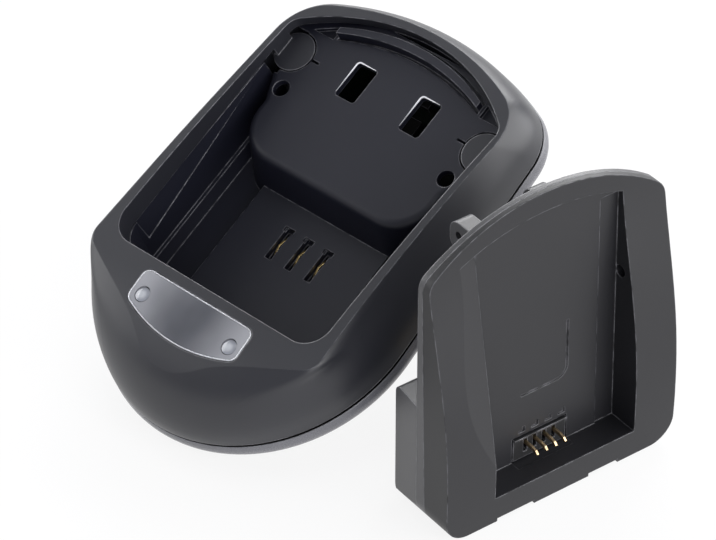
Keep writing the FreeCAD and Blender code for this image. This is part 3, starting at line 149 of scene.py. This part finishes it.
class Bench:
    """One material and the single way its nodes are made."""

    def __init__(self, name: str) -> None:
        """Start an empty material.

        Args:
            name: The material's name.
        """
        self.material = bpy.data.materials.new(name)
        self.material.use_nodes = True
        self.tree = self.material.node_tree
        self.tree.nodes.clear()

    @classmethod
    def on_tree(cls, tree: bpy.types.NodeTree) -> "Bench":
        """Work on the tree of something else than a material.

        Args:
            tree: The tree, which is emptied first.

        Returns:
            A bench for that tree.
        """
        bench = cls.__new__(cls)
        bench.material = None
        bench.tree = tree
        tree.nodes.clear()
        return bench

    def node(self, kind: str, settings: dict[str, Any], feeds: dict[Any, Any]) -> bpy.types.Node:
        """Make one node.

        Args:
            kind: Node type.
            settings: Settings, written first.
            feeds: Value or link of each input, by name or number.

        Returns:
            The new node.
        """
        made = self.tree.nodes.new(kind)
        for key, value in settings.items():
            setattr(made, key, value)
        for key, value in feeds.items():
            self._feed(made.inputs[key], value)
        return made

    def _feed(self, socket: bpy.types.NodeSocket, value: Any) -> None:
        """Link or set one input.

        Args:
            socket: The input.
            value: A wire to link, or a plain value.
        """
        if isinstance(value, Wire):
            self.tree.links.new(value.socket, socket)
            return
        if isinstance(value, tuple) and len(value) == 3 and socket.type == "RGBA":
            value = (*value, 1.0)
        socket.default_value = value

    def make(
        self, kind: str, settings: dict[str, Any], feeds: dict[Any, Any], out: Any = 0
    ) -> Wire:
        """Make one node and take one of its outputs.

        Args:
            kind: Node type.
            settings: Settings, written first.
            feeds: Value or link of each input.
            out: Name or number of the output.

        Returns:
            The chosen output.
        """
        return Wire(self, self.node(kind, settings, feeds).outputs[out])

    def place(self) -> Wire:
        """Give the surface position in metres."""
        return self.make("ShaderNodeTexCoord", {}, {}, "Object")

    def noise(self, scale: float, detail: float = 2.0, rough: float = 0.5) -> Wire:
        """Give a noise value between 0 and 1.

        Args:
            scale: How fine the noise is.
            detail: How many finer layers it has.
            rough: How strong the finer layers are.

        Returns:
            The noise.
        """
        feeds = {"Vector": self.place(), "Scale": scale, "Detail": detail, "Roughness": rough}
        return self.make("ShaderNodeTexNoise", {}, feeds, 0)

    def mix(self, mask: Any, first: Any, second: Any) -> Wire:
        """Blend two colours.

        Args:
            mask: 0 gives the first colour and 1 the second.
            first: Colour or wire.
            second: Colour or wire.

        Returns:
            The blended colour.
        """
        return self.make(
            "ShaderNodeMix", {"data_type": "RGBA"}, {0: mask, 6: first, 7: second}, 2
        )

    def soft_edges(self, radius: float) -> tuple[Wire, Wire]:
        """Round off sharp edges in the shading.

        Args:
            radius: Edge radius in metres.

        Returns:
            The rounded normal and a mask that is 1 on the edges.
        """
        rounded = self.make("ShaderNodeBevel", {"samples": BEVEL_SAMPLES}, {"Radius": radius})
        plain = self.make("ShaderNodeNewGeometry", {}, {}, "Normal")
        along = self.make(
            "ShaderNodeVectorMath", {"operation": "DOT_PRODUCT"}, {0: rounded, 1: plain}, "Value"
        )
        return rounded, (1.0 - along).ramp(EDGE_START, EDGE_FULL)

    def bump(self, height: Wire, depth: float, normal: Wire | None = None) -> Wire:
        """Turn a height into a normal.

        Args:
            height: Height between 0 and 1.
            depth: Depth of the relief in metres.
            normal: Normal to start from.

        Returns:
            The bumped normal.
        """
        feeds: dict[str, Any] = {"Height": height, "Distance": depth, "Strength": 1.0}
        if normal is not None:
            feeds["Normal"] = normal
        return self.make("ShaderNodeBump", {}, feeds)

    def close(self, **sockets: Any) -> bpy.types.Material:
        """Finish with one principled shader.

        Args:
            sockets: Principled inputs, spaces written as underscores.

        Returns:
            The finished material.
        """
        feeds = {key.replace("_", " "): value for key, value in sockets.items()}
        shader = self.make("ShaderNodeBsdfPrincipled", {}, feeds)
        self.node("ShaderNodeOutputMaterial", {}, {"Surface": shader})
        return self.material


@dataclass(frozen=True)
class MouldedPlastic:
    """Black moulded plastic with a fine grain, cloudy gloss, and edges lightened in noise
    patches: partly wear, partly painted edge highlight.
    """

    name: str
    colour: Colour
    # Colour the edges turn to: partly wear, partly painted edge highlight.
    edge_wear_and_highlight: Colour
    gloss: float
    ior: float = 1.55
    grain: float = 5200.0
    relief: float = 0.000012
    edge: float = 0.0004
    clouds: float = 38.0
    cloud_span: Span = (0.3, 0.75)
    cloud_share: float = 0.5
    wear_and_highlight_patches: float = 420.0
    wear_and_highlight_span: Span = (0.3, 0.62)
    wear_and_highlight_share: float = 0.6
    lighter: float = 1.25
    uneven: float = 0.10

    def material(self) -> bpy.types.Material:
        """Build the material.

        Returns:
            The finished material.
        """
        bench = Bench(self.name)
        normal, rim = bench.soft_edges(self.edge)
        cloud = bench.noise(self.clouds, 3.0)
        fine = bench.noise(self.grain, 2.0, 0.6)
        patches = bench.noise(self.wear_and_highlight_patches, 3.0).ramp(*self.wear_and_highlight_span)
        # Painted edge highlight, partly wear: the edge mask, in noise patches, lightens the
        # colour.
        edge_wear_and_highlight_mask = (rim * patches * self.wear_and_highlight_share).least(1.0)
        pale = tuple(channel * self.lighter for channel in self.colour)
        shade = bench.mix(cloud.ramp(*self.cloud_span) * self.cloud_share, self.colour, pale)
        rough = self.gloss + (cloud - 0.5) * self.uneven + (fine - 0.5) * self.uneven
        return bench.close(
            Base_Color=bench.mix(edge_wear_and_highlight_mask, shade, self.edge_wear_and_highlight),
            Roughness=rough,
            IOR=self.ior,
            Normal=bench.bump(fine, self.relief, normal),
        )


@dataclass(frozen=True)
class SmokedWindow:
    """Dark glossy window, lighter away from its middle line as a painted reflection, with
    lighter, rougher noise smears.
    """

    name: str = "smoked_window"
    middle_x: float = -0.01945
    dark_half: float = 0.002
    light_half: float = 0.016
    middle: Colour = (0.068, 0.071, 0.085)
    # Colour of the painted reflection away from the middle line.
    ends: Colour = (0.36, 0.365, 0.395)
    smears: float = 60.0
    smear_span: Span = (0.35, 0.7)
    smear_share: float = 0.2
    gloss: float = 0.12
    uneven: float = 0.10
    ior: float = 1.5
    coat: float = 0.4

    def across(self, bench: Bench) -> Wire:
        """Give the distance from the window's middle line.

        Args:
            bench: Bench that the nodes go to.

        Returns:
            The distance in metres.
        """
        kind = "ShaderNodeVectorMath"
        middle = (self.middle_x, 0.0, 0.0)
        away = bench.make(kind, {"operation": "SUBTRACT"}, {0: bench.place(), 1: middle})
        flat = bench.make(kind, {"operation": "MULTIPLY"}, {0: away, 1: (1.0, 0.0, 0.0)})
        return bench.make(kind, {"operation": "LENGTH"}, {0: flat}, "Value")

    def material(self) -> bpy.types.Material:
        """Build the material.

        Returns:
            The finished material.
        """
        bench = Bench(self.name)
        smear = bench.noise(self.smears, 2.0)
        wiped = smear.ramp(*self.smear_span) * self.smear_share
        # Painted reflection: lighter with distance from the middle line; the smears add to it.
        reflection_spread = self.across(bench).ramp(self.dark_half, self.light_half)
        light = (reflection_spread * (1.0 - self.smear_share) + wiped).least(1.0)
        return bench.close(
            Base_Color=bench.mix(light, self.middle, self.ends),
            Roughness=self.gloss + smear * self.uneven,
            IOR=self.ior,
            Coat_Weight=self.coat,
        )


@dataclass(frozen=True)
class BrightMetal:
    """Plated metal with fine scratches."""

    name: str
    colour: Colour
    dull: Colour
    gloss: float
    edge: float = 0.00012
    relief: float = 0.000006
    stains: float = 900.0
    stain_span: Span = (0.35, 0.75)
    stain_share: float = 0.6
    stain_dull: float = 0.16
    edge_dull: float = 0.05
    scratches: float = 7000.0

    def material(self) -> bpy.types.Material:
        """Build the material.

        Returns:
            The finished material.
        """
        bench = Bench(self.name)
        normal, rim = bench.soft_edges(self.edge)
        stain = bench.noise(self.stains, 3.0)
        scratch = bench.noise(self.scratches, 1.0)
        mask = stain.ramp(*self.stain_span) * self.stain_share
        return bench.close(
            Base_Color=bench.mix(mask, self.colour, self.dull),
            Metallic=1.0,
            Roughness=self.gloss + stain * self.stain_dull + rim * self.edge_dull,
            Normal=bench.bump(scratch, self.relief, normal),
        )


@dataclass(frozen=True)
class MilkyLamp:
    """Clear lamp dome with a pale chip inside."""

    name: str
    centre: Point
    colour: Colour = (0.24, 0.25, 0.29)
    core: Colour = (0.52, 0.54, 0.58)
    core_r: float = 0.0004
    fade_r: float = 0.0014
    core_share: float = 0.7
    clouds: float = 900.0
    cloud_share: float = 0.2
    gloss: float = 0.16
    uneven: float = 0.08
    ior: float = 1.5
    coat: float = 0.6

    def material(self) -> bpy.types.Material:
        """Build the material.

        Returns:
            The finished material.
        """
        bench = Bench(self.name)
        feeds = {0: bench.place(), 1: self.centre}
        spot = bench.make("ShaderNodeVectorMath", {"operation": "DISTANCE"}, feeds, "Value")
        glow = 1.0 - spot.ramp(self.core_r, self.fade_r)
        cloud = bench.noise(self.clouds, 2.0)
        mask = glow * self.core_share + cloud * self.cloud_share
        return bench.close(
            Base_Color=bench.mix(mask, self.colour, self.core),
            Roughness=self.gloss + cloud * self.uneven,
            IOR=self.ior,
            Coat_Weight=self.coat,
        )


@dataclass(frozen=True)
class BoardLaminate:
    """Very dark green laminate with faint tracks under the mask."""

    name: str = "board_laminate"
    mask: Colour = (0.0015, 0.0045, 0.0022)
    track: Colour = (0.003, 0.009, 0.0045)
    track_share: float = 0.6
    tracks: float = 260.0
    track_gap: float = 0.03
    weave: float = 3000.0
    gloss: float = 0.55
    uneven: float = 0.12
    ior: float = 1.3
    relief: float = 0.00002

    def material(self) -> bpy.types.Material:
        """Build the material.

        Returns:
            The finished material.
        """
        bench = Bench(self.name)
        tracks = bench.make(
            "ShaderNodeTexBrick",
            {"offset": 0.5},
            {"Vector": bench.place(), "Scale": self.tracks, "Mortar Size": self.track_gap},
            "Fac",
        )
        weave = bench.noise(self.weave, 1.0)
        return bench.close(
            Base_Color=bench.mix(tracks * self.track_share, self.mask, self.track),
            Roughness=self.gloss + weave * self.uneven,
            IOR=self.ior,
            Normal=bench.bump(tracks, self.relief),
        )


@dataclass(frozen=True)
class SoftRubber:
    """Dull rubber with a fine pebble."""

    name: str = "soft_rubber"
    low: Colour = (0.012, 0.012, 0.012)
    high: Colour = (0.026, 0.026, 0.026)
    ior: float = 1.5
    pebbles: float = 2600.0
    gloss: float = 0.75
    uneven: float = 0.15
    relief: float = 0.00003

    def material(self) -> bpy.types.Material:
        """Build the material.

        Returns:
            The finished material.
        """
        bench = Bench(self.name)
        pebble = bench.noise(self.pebbles, 2.0)
        return bench.close(
            Base_Color=bench.mix(pebble, self.low, self.high),
            Roughness=self.gloss + pebble * self.uneven,
            IOR=self.ior,
            Normal=bench.bump(pebble, self.relief),
        )


@dataclass(frozen=True)
class WoundCore:
    """Ferrite and taped winding."""

    name: str = "wound_core"
    low: Colour = (0.03, 0.03, 0.034)
    high: Colour = (0.07, 0.07, 0.075)
    pits: float = 1800.0
    pit_span: Span = (0.4, 0.7)
    turns: float = 300.0
    turn_bend: float = 0.4
    gloss: float = 0.55
    uneven: float = 0.25
    relief: float = 0.00003

    def material(self) -> bpy.types.Material:
        """Build the material.

        Returns:
            The finished material.
        """
        bench = Bench(self.name)
        pits = bench.noise(self.pits, 3.0)
        turns = bench.make(
            "ShaderNodeTexWave",
            {"bands_direction": "Z"},
            {"Vector": bench.place(), "Scale": self.turns, "Distortion": self.turn_bend},
            "Fac",
        )
        return bench.close(
            Base_Color=bench.mix(pits.ramp(*self.pit_span), self.low, self.high),
            Roughness=self.gloss + pits * self.uneven,
            Normal=bench.bump(turns, self.relief),
        )


class Finish(Enum):
    """The finishes that CAD nodes are dressed in."""

    CASE = "case"
    BELLY_REFLECTION = "belly"
    BACK_PAINTED_LIGHT = "back"
    HOLDER_SHADE = "holder"
    BRASS = "brass"
    SHADE = "shade"
    SLOT_HIGHLIGHT = "lip"
    WELL = "well"
    PLATE = "plate"
    WINDOW = "window"
    TRIM = "trim"
    GOLD = "gold"
    STEEL = "steel"
    RUBBER = "rubber"
    BOARD = "board"
    CORE = "core"
    CAN = "can"
    CHIP = "chip"
    RIBBON = "ribbon"
    PIN = "pin"


def plastics() -> dict[Finish, MouldedPlastic]:
    """Give the moulded finishes.

    Returns:
        Plastic of each moulded finish.
    """
    # The first three colours are what the edges turn to in each finish: partly wear, partly
    # painted edge highlight.
    pale = (0.30, 0.30, 0.33)
    plate_edge_wear_and_highlight = (0.2, 0.2, 0.22)
    bright = (0.92, 0.92, 0.95)
    return {
        Finish.CASE: MouldedPlastic("case_black", (0.015, 0.0155, 0.0205), pale, 0.36),
        # Mid grey on the black bottom tray: painted reflection of the white floor.
        Finish.BELLY_REFLECTION: MouldedPlastic("belly_painted_reflection", (0.13, 0.13, 0.145), pale, 0.26),
        # Grey, lighter than the plate frame: painted light on the adapter back's sides.
        Finish.BACK_PAINTED_LIGHT: MouldedPlastic("back_black_painted_light", (0.045, 0.045, 0.049), pale, 0.38),
        # Near black, darker than the case: black plastic darkened further as painted shade of the
        # bay.
        Finish.HOLDER_SHADE: MouldedPlastic("holder_black_painted_shade", (0.004, 0.004, 0.005), pale, 0.50),
        # Near-white finish of the slot strips: painted highlight on the slot rims.
        Finish.SLOT_HIGHLIGHT: MouldedPlastic("slot_painted_highlight", (0.85, 0.85, 0.90), bright, 0.22),
        Finish.WELL: MouldedPlastic("well_black", (0.0075, 0.0080, 0.0145), pale, 0.43, 1.40),
        Finish.PLATE: MouldedPlastic("plate_black", (0.0075, 0.0075, 0.0095), plate_edge_wear_and_highlight, 0.44, 1.46),
        Finish.CAN: MouldedPlastic("can_sleeve", (0.02, 0.03, 0.09), pale, 0.3),
        Finish.CHIP: MouldedPlastic("chip_case", (0.004, 0.004, 0.004), pale, 0.6, 1.3),
        Finish.RIBBON: MouldedPlastic("ribbon_grey", (0.35, 0.35, 0.37), pale, 0.5),
    }


def metals() -> dict[Finish, BrightMetal]:
    """Give the plated finishes.

    Returns:
        Metal of each plated finish.
    """
    return {
        Finish.TRIM: BrightMetal("bright_trim", (0.78, 0.79, 0.82), (0.55, 0.56, 0.6), 0.16),
        Finish.GOLD: BrightMetal("gold_spring", (0.95, 0.72, 0.33), (0.62, 0.42, 0.16), 0.18),
        Finish.BRASS: BrightMetal("brass_contact", (0.80, 0.60, 0.36), (0.16, 0.11, 0.07), 0.24),
        Finish.STEEL: BrightMetal("screw_steel", (0.70, 0.70, 0.72), (0.42, 0.42, 0.44), 0.26),
        Finish.PIN: BrightMetal("pin_nickel", (0.80, 0.79, 0.76), (0.55, 0.54, 0.52), 0.18),
    }


def build_finishes() -> dict[Finish, bpy.types.Material]:
    """Build every shared finish.

    Returns:
        Material of each finish.
    """
    makers = {
        **plastics(),
        **metals(),
        # Near-black, barely reflecting finish for the groove band: painted shade.
        Finish.SHADE: SoftRubber(
            "groove_shade", (0.001, 0.001, 0.0012), (0.002, 0.002, 0.0022), 1.12
        ),
        Finish.WINDOW: SmokedWindow(),
        Finish.RUBBER: SoftRubber(),
        Finish.BOARD: BoardLaminate(),
        Finish.CORE: WoundCore(),
    }
    return {finish: maker.material() for finish, maker in makers.items()}


@dataclass
class DressedNodes:
    """CAD nodes of one sub-assembly and their finishes."""

    title: str
    finishes: dict[str, Finish]

    def dress(self, frame: dict[str, Any], materials: dict[Finish, bpy.types.Material]) -> None:
        """Put each node's finish in its material slots.

        Args:
            frame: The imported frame.
            materials: Material of each finish.
        """
        for name, finish in self.finishes.items():
            target = frame["nodes"][name]
            for slot in target.material_slots:
                slot.material = materials[finish]
        LOG.info("%s: %d nodes dressed", self.title, len(self.finishes))


@dataclass(frozen=True)
class BasePose:
    """Where the drawn base lies once it is tilted on its feet; points are in millimetres."""

    tilt: float = math.radians(29.4)
    shift: Point = (-19.45, -46.65, 4.6046)

    def row(self, x: float, y: float, z: float) -> Vector:
        """Give a drawn point's place in the row frame in metres.

        Args:
            x: Across the base.
            y: Away from the window end.
            z: Up from the parting plane.

        Returns:
            The point in the row frame.
        """
        turn, rise = math.cos(self.tilt), math.sin(self.tilt)
        along, up = y * turn - z * rise, y * rise + z * turn
        return Vector((x + self.shift[0], along + self.shift[1], up + self.shift[2])) * MM


class Strip:
    """Builder of a narrow closed band swept along points."""

    def __init__(self, name: str, body: str, slot: str) -> None:
        """Start a strip.

        Args:
            name: Name of the piece.
            body: Body that the piece rides on.
            slot: Not used.
        """
        self.name = name
        self.body = body
        self.slot = slot

    def sweep(
        self, rings: Sequence[Sequence[Vector]], closed: bool, material: bpy.types.Material
    ) -> bpy.types.Object:
        """Join rings of points into one skin.

        Args:
            rings: Rings with the same number of points.
            closed: True if the last ring joins the first.
            material: Finish of the piece.

        Returns:
            The finished object.
        """
        grid = bmesh.new()
        rows = [[grid.verts.new(point) for point in ring] for ring in rings]
        count = len(rows[0])
        steps = list(zip(rows, rows[1:])) + ([(rows[-1], rows[0])] if closed else [])
        for first, second in steps:
            for index in range(count):
                after = (index + 1) % count
                grid.faces.new((first[index], first[after], second[after], second[index]))
        if not closed:
            grid.faces.new(rows[0][::-1])
            grid.faces.new(rows[-1])
        bmesh.ops.recalc_face_normals(grid, faces=grid.faces)
        mesh = bpy.data.meshes.new(self.name)
        grid.to_mesh(mesh)
        grid.free()
        mesh.materials.append(material)
        mesh.shade_smooth()
        piece = bpy.data.objects.new(self.name, mesh)
        bpy.context.collection.objects.link(piece)
        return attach(piece, self.body)


@dataclass
class SlotHighlightStrips:
    """Fine near-white strips along two edges of each hook slot in the deck: a painted highlight
    on the slot rims.
    """

    pose: BasePose = field(default_factory=BasePose)
    slot_x: float = 9.35
    slot_wide: float = 5.7
    near: float = 80.5
    far: float = 89.5
    deck: float = 7.1
    corner: float = 0.8
    corner_steps: int = 6
    end_gap: float = 0.7
    thick: float = 0.2
    thin_end: float = 0.35
    lift: float = 0.02
    sides: int = 8

    def path(self, side: int) -> list[tuple[float, float]]:
        """Give the line along the left and far edge of one slot.

        Args:
            side: -1 for the left slot, 1 for the right one.

        Returns:
            Points across and along the base.
        """
        left = side * self.slot_x - self.slot_wide / 2
        right = left + self.slot_wide
        points = [(left, self.near + self.end_gap)]
        for step in range(self.corner_steps + 1):
            turn = math.radians(180.0 - 90.0 * step / self.corner_steps)
            points.append((
                left + self.corner + self.corner * math.cos(turn),
                self.far - self.corner + self.corner * math.sin(turn),
            ))
        points.append((right - self.end_gap, self.far))
        return points

    def ring(self, line: Sequence[tuple[float, float]], index: int) -> list[Vector]:
        """Give the points round the strip at one point of its line.

        Args:
            line: The strip's line.
            index: Number of the point.

        Returns:
            Points of the ring in the row frame.
        """
        last = len(line) - 1
        x, y = line[index]
        before, after = line[max(0, index - 1)], line[min(last, index + 1)]
        along = Vector((after[0] - before[0], after[1] - before[1], 0.0)).normalized()
        across = Vector((along.y, -along.x, 0.0))
        radius = self.thick * (self.thin_end if index in (0, last) else 1.0)
        points = []
        for corner in range(self.sides):
            turn = 2 * math.pi * corner / self.sides
            reach = across * (math.cos(turn) * radius)
            high = self.deck + self.lift + math.sin(turn) * radius
            points.append(self.pose.row(x + reach.x, y + reach.y, high))
        return points

    def build(self, material: bpy.types.Material) -> None:
        """Make both painted highlight strips.

        Args:
            material: Finish of the strips.
        """
        for side, label in ((-1, "left"), (1, "right")):
            line = self.path(side)
            rings = [self.ring(line, index) for index in range(len(line))]
            Strip("slot_highlight_" + label, "base", "inner").sweep(rings, False, material)
            LOG.info("slot lip %s made", label)


@dataclass
class GrooveShadeBand:
    """Near-black band in the groove between the two case halves: painted shade."""

    pose: BasePose = field(default_factory=BasePose)
    half_width: float = 38.2
    long: float = 106.0
    lean: float = math.radians(3.47)
    tail: float = 13.0
    tail_draw: float = 0.4
    far_arc: float = 70.0
    near_steps: int = 40
    tail_steps: int = 12
    far_steps: int = 16
    outer: float = 0.12
    inner: float = 2.2
    half_high: float = 0.38

    def half_outline(self, inset: float) -> list[tuple[float, float]]:
        """Give the right half of the case outline, from the near tip to the far middle.

        Args:
            inset: How far the line lies inside the case.

        Returns:
            Points across and along the base.
        """
        reach = self.half_width - inset
        hub = Vector((0.0, inset + reach))
        tail = self.tail - self.tail_draw * inset
        far_hub = Vector((0.0, self.long - inset - self.far_arc))
        out = Vector((math.cos(self.lean), math.sin(self.lean)))
        run = Vector((-out.y, out.x))
        start = hub + out * (reach - tail)
        gap = start - far_hub
        half_b = gap.dot(run)
        rest = gap.dot(gap) - (self.far_arc - tail) ** 2
        corner = start + run * (-half_b + math.sqrt(half_b ** 2 - rest))
        to_far = (corner - far_hub).normalized()
        far_turn = math.atan2(to_far.y, to_far.x)
        points = self.arc(hub, reach, -math.pi / 2, self.lean, self.near_steps)
        points += self.arc(corner, tail, self.lean, far_turn, self.tail_steps)
        points += self.arc(far_hub, self.far_arc, far_turn, math.pi / 2, self.far_steps)
        return points

    def arc(
        self, hub: Vector, radius: float, start: float, end: float, steps: int
    ) -> list[tuple[float, float]]:
        """Give points along an arc.

        Args:
            hub: Centre.
            radius: Radius.
            start: First angle in radians.
            end: Last angle in radians.
            steps: Number of runs.

        Returns:
            The points.
        """
        turns = [start + (end - start) * step / steps for step in range(steps + 1)]
        return [
            (hub.x + radius * math.cos(turn), hub.y + radius * math.sin(turn)) for turn in turns
        ]

    def build(self, material: bpy.types.Material) -> None:
        """Make the painted shade band.

        Args:
            material: Its finish.
        """
        rings = []
        outer, inner = self.half_outline(self.outer), self.half_outline(self.inner)
        pairs = list(zip(outer, inner))
        mirrored = [((-a[0], a[1]), (-b[0], b[1])) for a, b in pairs[-2:0:-1]]
        high = self.half_high
        for a, b in pairs + mirrored:
            rings.append([
                self.pose.row(*a, -high), self.pose.row(*a, high),
                self.pose.row(*b, high), self.pose.row(*b, -high),
            ])
        Strip("groove_shade_band", "base", "shell").sweep(rings, True, material)
        LOG.info("groove shade_band made")


@dataclass
class ChargerBase(DressedNodes):
    """The tilted base."""

    title: str = "charger base"
    chip_near: float = 0.0018
    chip_deep: float = 0.0006
    finishes: dict[str, Finish] = field(default_factory=lambda: {
        "top_cover": Finish.CASE,
        "bottom_tray": Finish.BELLY_REFLECTION,
        "cradle": Finish.WELL,
        "status_window": Finish.WINDOW,
        "window_backing": Finish.TRIM,
        "contact_carrier": Finish.WELL,
        "well_contact_left": Finish.GOLD,
        "well_contact_middle": Finish.GOLD,
        "well_contact_right": Finish.GOLD,
        "lamp_ribbon": Finish.RIBBON,
        "case_screws": Finish.STEEL,
        "rubber_feet": Finish.RUBBER,
        "plug_head": Finish.CASE,
        "plug_pins": Finish.PIN,
        "pin_sleeves": Finish.WELL,
        "plug_contacts": Finish.GOLD,
        "main_board": Finish.BOARD,
        "indicator_board": Finish.BOARD,
        "transformer": Finish.CORE,
        "input_capacitor": Finish.CAN,
        "output_capacitors": Finish.CAN,
        "control_chips": Finish.CHIP,
    })

    def dress_lamps(self, frame: dict[str, Any]) -> None:
        """Give each lamp a dome finish with its chip in its own place.

        Args:
            frame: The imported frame.
        """
        for name in ("status_lamp", "charge_lamp"):
            low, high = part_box(name)
            middle = (Vector(low) + Vector(high)) / 2
            chip = (middle.x, middle.y - self.chip_near, high[2] - self.chip_deep)
            lamp = MilkyLamp(name + "_dome", chip)
            for slot in frame["nodes"][name].material_slots:
                slot.material = lamp.material()


@dataclass
class AdapterPlate(DressedNodes):
    """The plate standing beside the base."""

    title: str = "adapter plate"
    finishes: dict[str, Finish] = field(default_factory=lambda: {
        "adapter_frame": Finish.PLATE,
        "adapter_back": Finish.BACK_PAINTED_LIGHT,
        "contact_holder": Finish.HOLDER_SHADE,
        "battery_contact_1": Finish.BRASS,
        "battery_contact_2": Finish.BRASS,
        "battery_contact_3": Finish.BRASS,
        "battery_contact_4": Finish.BRASS,
        "pickup_pads": Finish.GOLD,
        "adapter_screws": Finish.STEEL,
        "adapter_board": Finish.BOARD,
    })


@dataclass(frozen=True)
class Panel:
    """One soft lamp: its place and size in metres and its power in watts."""

    name: str
    place: Point
    size: Span
    watts: float


@dataclass
class Studio:
    """Camera, lamps, floor and surroundings."""

    azimuth: float = 43.747
    elevation: float = 37.234
    lens: float = 188.7
    sensor: float = 36.0
    clip: Span = (0.05, 20.0)
    eye: Point = (0.43207, -0.45699, 0.50824)
    aim: Point = (0.0, 0.0, 0.03)
    panels: tuple[Panel, ...] = (
        Panel("far_right_panel", (1.0, 0.95, 0.40), (2.4, 1.4), 38.0),
        Panel("near_right_panel", (1.3, -0.55, 0.55), (1.8, 1.0), 20.0),
        Panel("left_panel", (-1.35, -0.1, 0.50), (1.8, 0.9), 18.0),
        Panel("far_left_panel", (-0.7, 1.1, 0.70), (1.2, 0.8), 18.0),
        Panel("top_panel", (0.1, 0.1, 1.5), (0.7, 0.7), 3.5),
    )
    room_colour: Colour = (0.92, 0.94, 1.0)
    room_light: float = 0.22
    room_shown: float = 0.5
    floor_half: float = 3.0
    floor_colour: Colour = (0.86, 0.86, 0.87)
    floor_shown: float = 0.86

    def back(self) -> Vector:
        """Give the direction from the object to the camera.

        Returns:
            The unit vector.
        """
        turn, rise = math.radians(self.azimuth), math.radians(self.elevation)
        return Vector((
            math.sin(turn) * math.cos(rise), -math.cos(turn) * math.cos(rise), math.sin(rise)
        ))

    def set_camera(self) -> None:
        """Place the camera where the photograph was taken."""
        data = bpy.data.cameras.new("photo_camera")
        camera = bpy.data.objects.new("photo_camera", data)
        bpy.context.collection.objects.link(camera)
        data.sensor_width = self.sensor
        data.lens = self.lens
        data.clip_start, data.clip_end = self.clip
        camera.location = Vector(self.eye)
        camera.rotation_mode = "QUATERNION"
        camera.rotation_quaternion = (-self.back()).to_track_quat("-Z", "Y")
        bpy.context.scene.camera = camera

    def hang(self, lamp: Panel) -> None:
        """Add one soft panel aimed at the object.

        Args:
            lamp: The panel.
        """
        data = bpy.data.lights.new(lamp.name, "AREA")
        data.shape = "RECTANGLE"
        data.size, data.size_y = lamp.size
        data.energy = lamp.watts
        panel = bpy.data.objects.new(lamp.name, data)
        panel.location = Vector(lamp.place)
        panel.rotation_mode = "QUATERNION"
        panel.rotation_quaternion = (Vector(self.aim) - panel.location).to_track_quat("-Z", "Y")
        bpy.context.collection.objects.link(panel)

    def shown_white(self, bench: Bench) -> Wire:
        """Tell the rays that show the surroundings from the rays that only carry light.

        Args:
            bench: Bench that the nodes go to.

        Returns:
            1 for camera, glossy and transmission rays, otherwise 0.
        """
        path = bench.node("ShaderNodeLightPath", {}, {})
        kinds = ("Is Camera Ray", "Is Glossy Ray", "Is Transmission Ray")
        seen, glossy, through = (Wire(bench, path.outputs[kind]) for kind in kinds)
        return (seen + glossy + through).least(1.0)

    def light(self) -> None:
        """Add the lamps and the surroundings."""
        for panel in self.panels:
            self.hang(panel)
        world = bpy.data.worlds.new("dim_room")
        world.use_nodes = True
        bpy.context.scene.world = world
        bench = Bench.on_tree(world.node_tree)
        shown = self.shown_white(bench)
        strength = (1.0 - shown) * self.room_light + shown * self.room_shown
        feeds = {"Color": self.room_colour, "Strength": strength}
        soft = bench.make("ShaderNodeBackground", {}, feeds)
        bench.node("ShaderNodeOutputWorld", {}, {"Surface": soft})

    def lay_floor(self) -> None:
        """Lay the pale floor."""
        half = self.floor_half
        mesh = bpy.data.meshes.new("floor")
        corners = [(-half, -half, 0), (half, -half, 0), (half, half, 0), (-half, half, 0)]
        mesh.from_pydata(corners, [], [(0, 1, 2, 3)])
        floor = bpy.data.objects.new("floor", mesh)
        bpy.context.collection.objects.link(floor)
        bench = Bench("floor_white")
        plain = bench.make("ShaderNodeBsdfDiffuse", {}, {"Color": self.floor_colour})
        glow = bench.make("ShaderNodeEmission", {}, {"Color": (1.0, 1.0, 1.0), "Strength": 1.0})
        share = self.shown_white(bench) * self.floor_shown
        mixed = bench.make("ShaderNodeMixShader", {}, {0: share, 1: plain, 2: glow})
        bench.node("ShaderNodeOutputMaterial", {}, {"Surface": mixed})
        mesh.materials.append(bench.material)


def main() -> None:
    """Load the frame, dress it and set the studio."""
    logging.basicConfig(level=logging.INFO, format="%(message)s")
    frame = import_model()
    studio = Studio()
    studio.set_camera()
    materials = build_finishes()
    base = ChargerBase()
    base.dress(frame, materials)
    base.dress_lamps(frame)
    SlotHighlightStrips().build(materials[Finish.SLOT_HIGHLIGHT])
    GrooveShadeBand().build(materials[Finish.SHADE])
    AdapterPlate().dress(frame, materials)
    studio.light()
    studio.lay_floor()
    bpy.context.scene.view_settings.view_transform = "Standard"


if __name__ == "__main__":
    main()
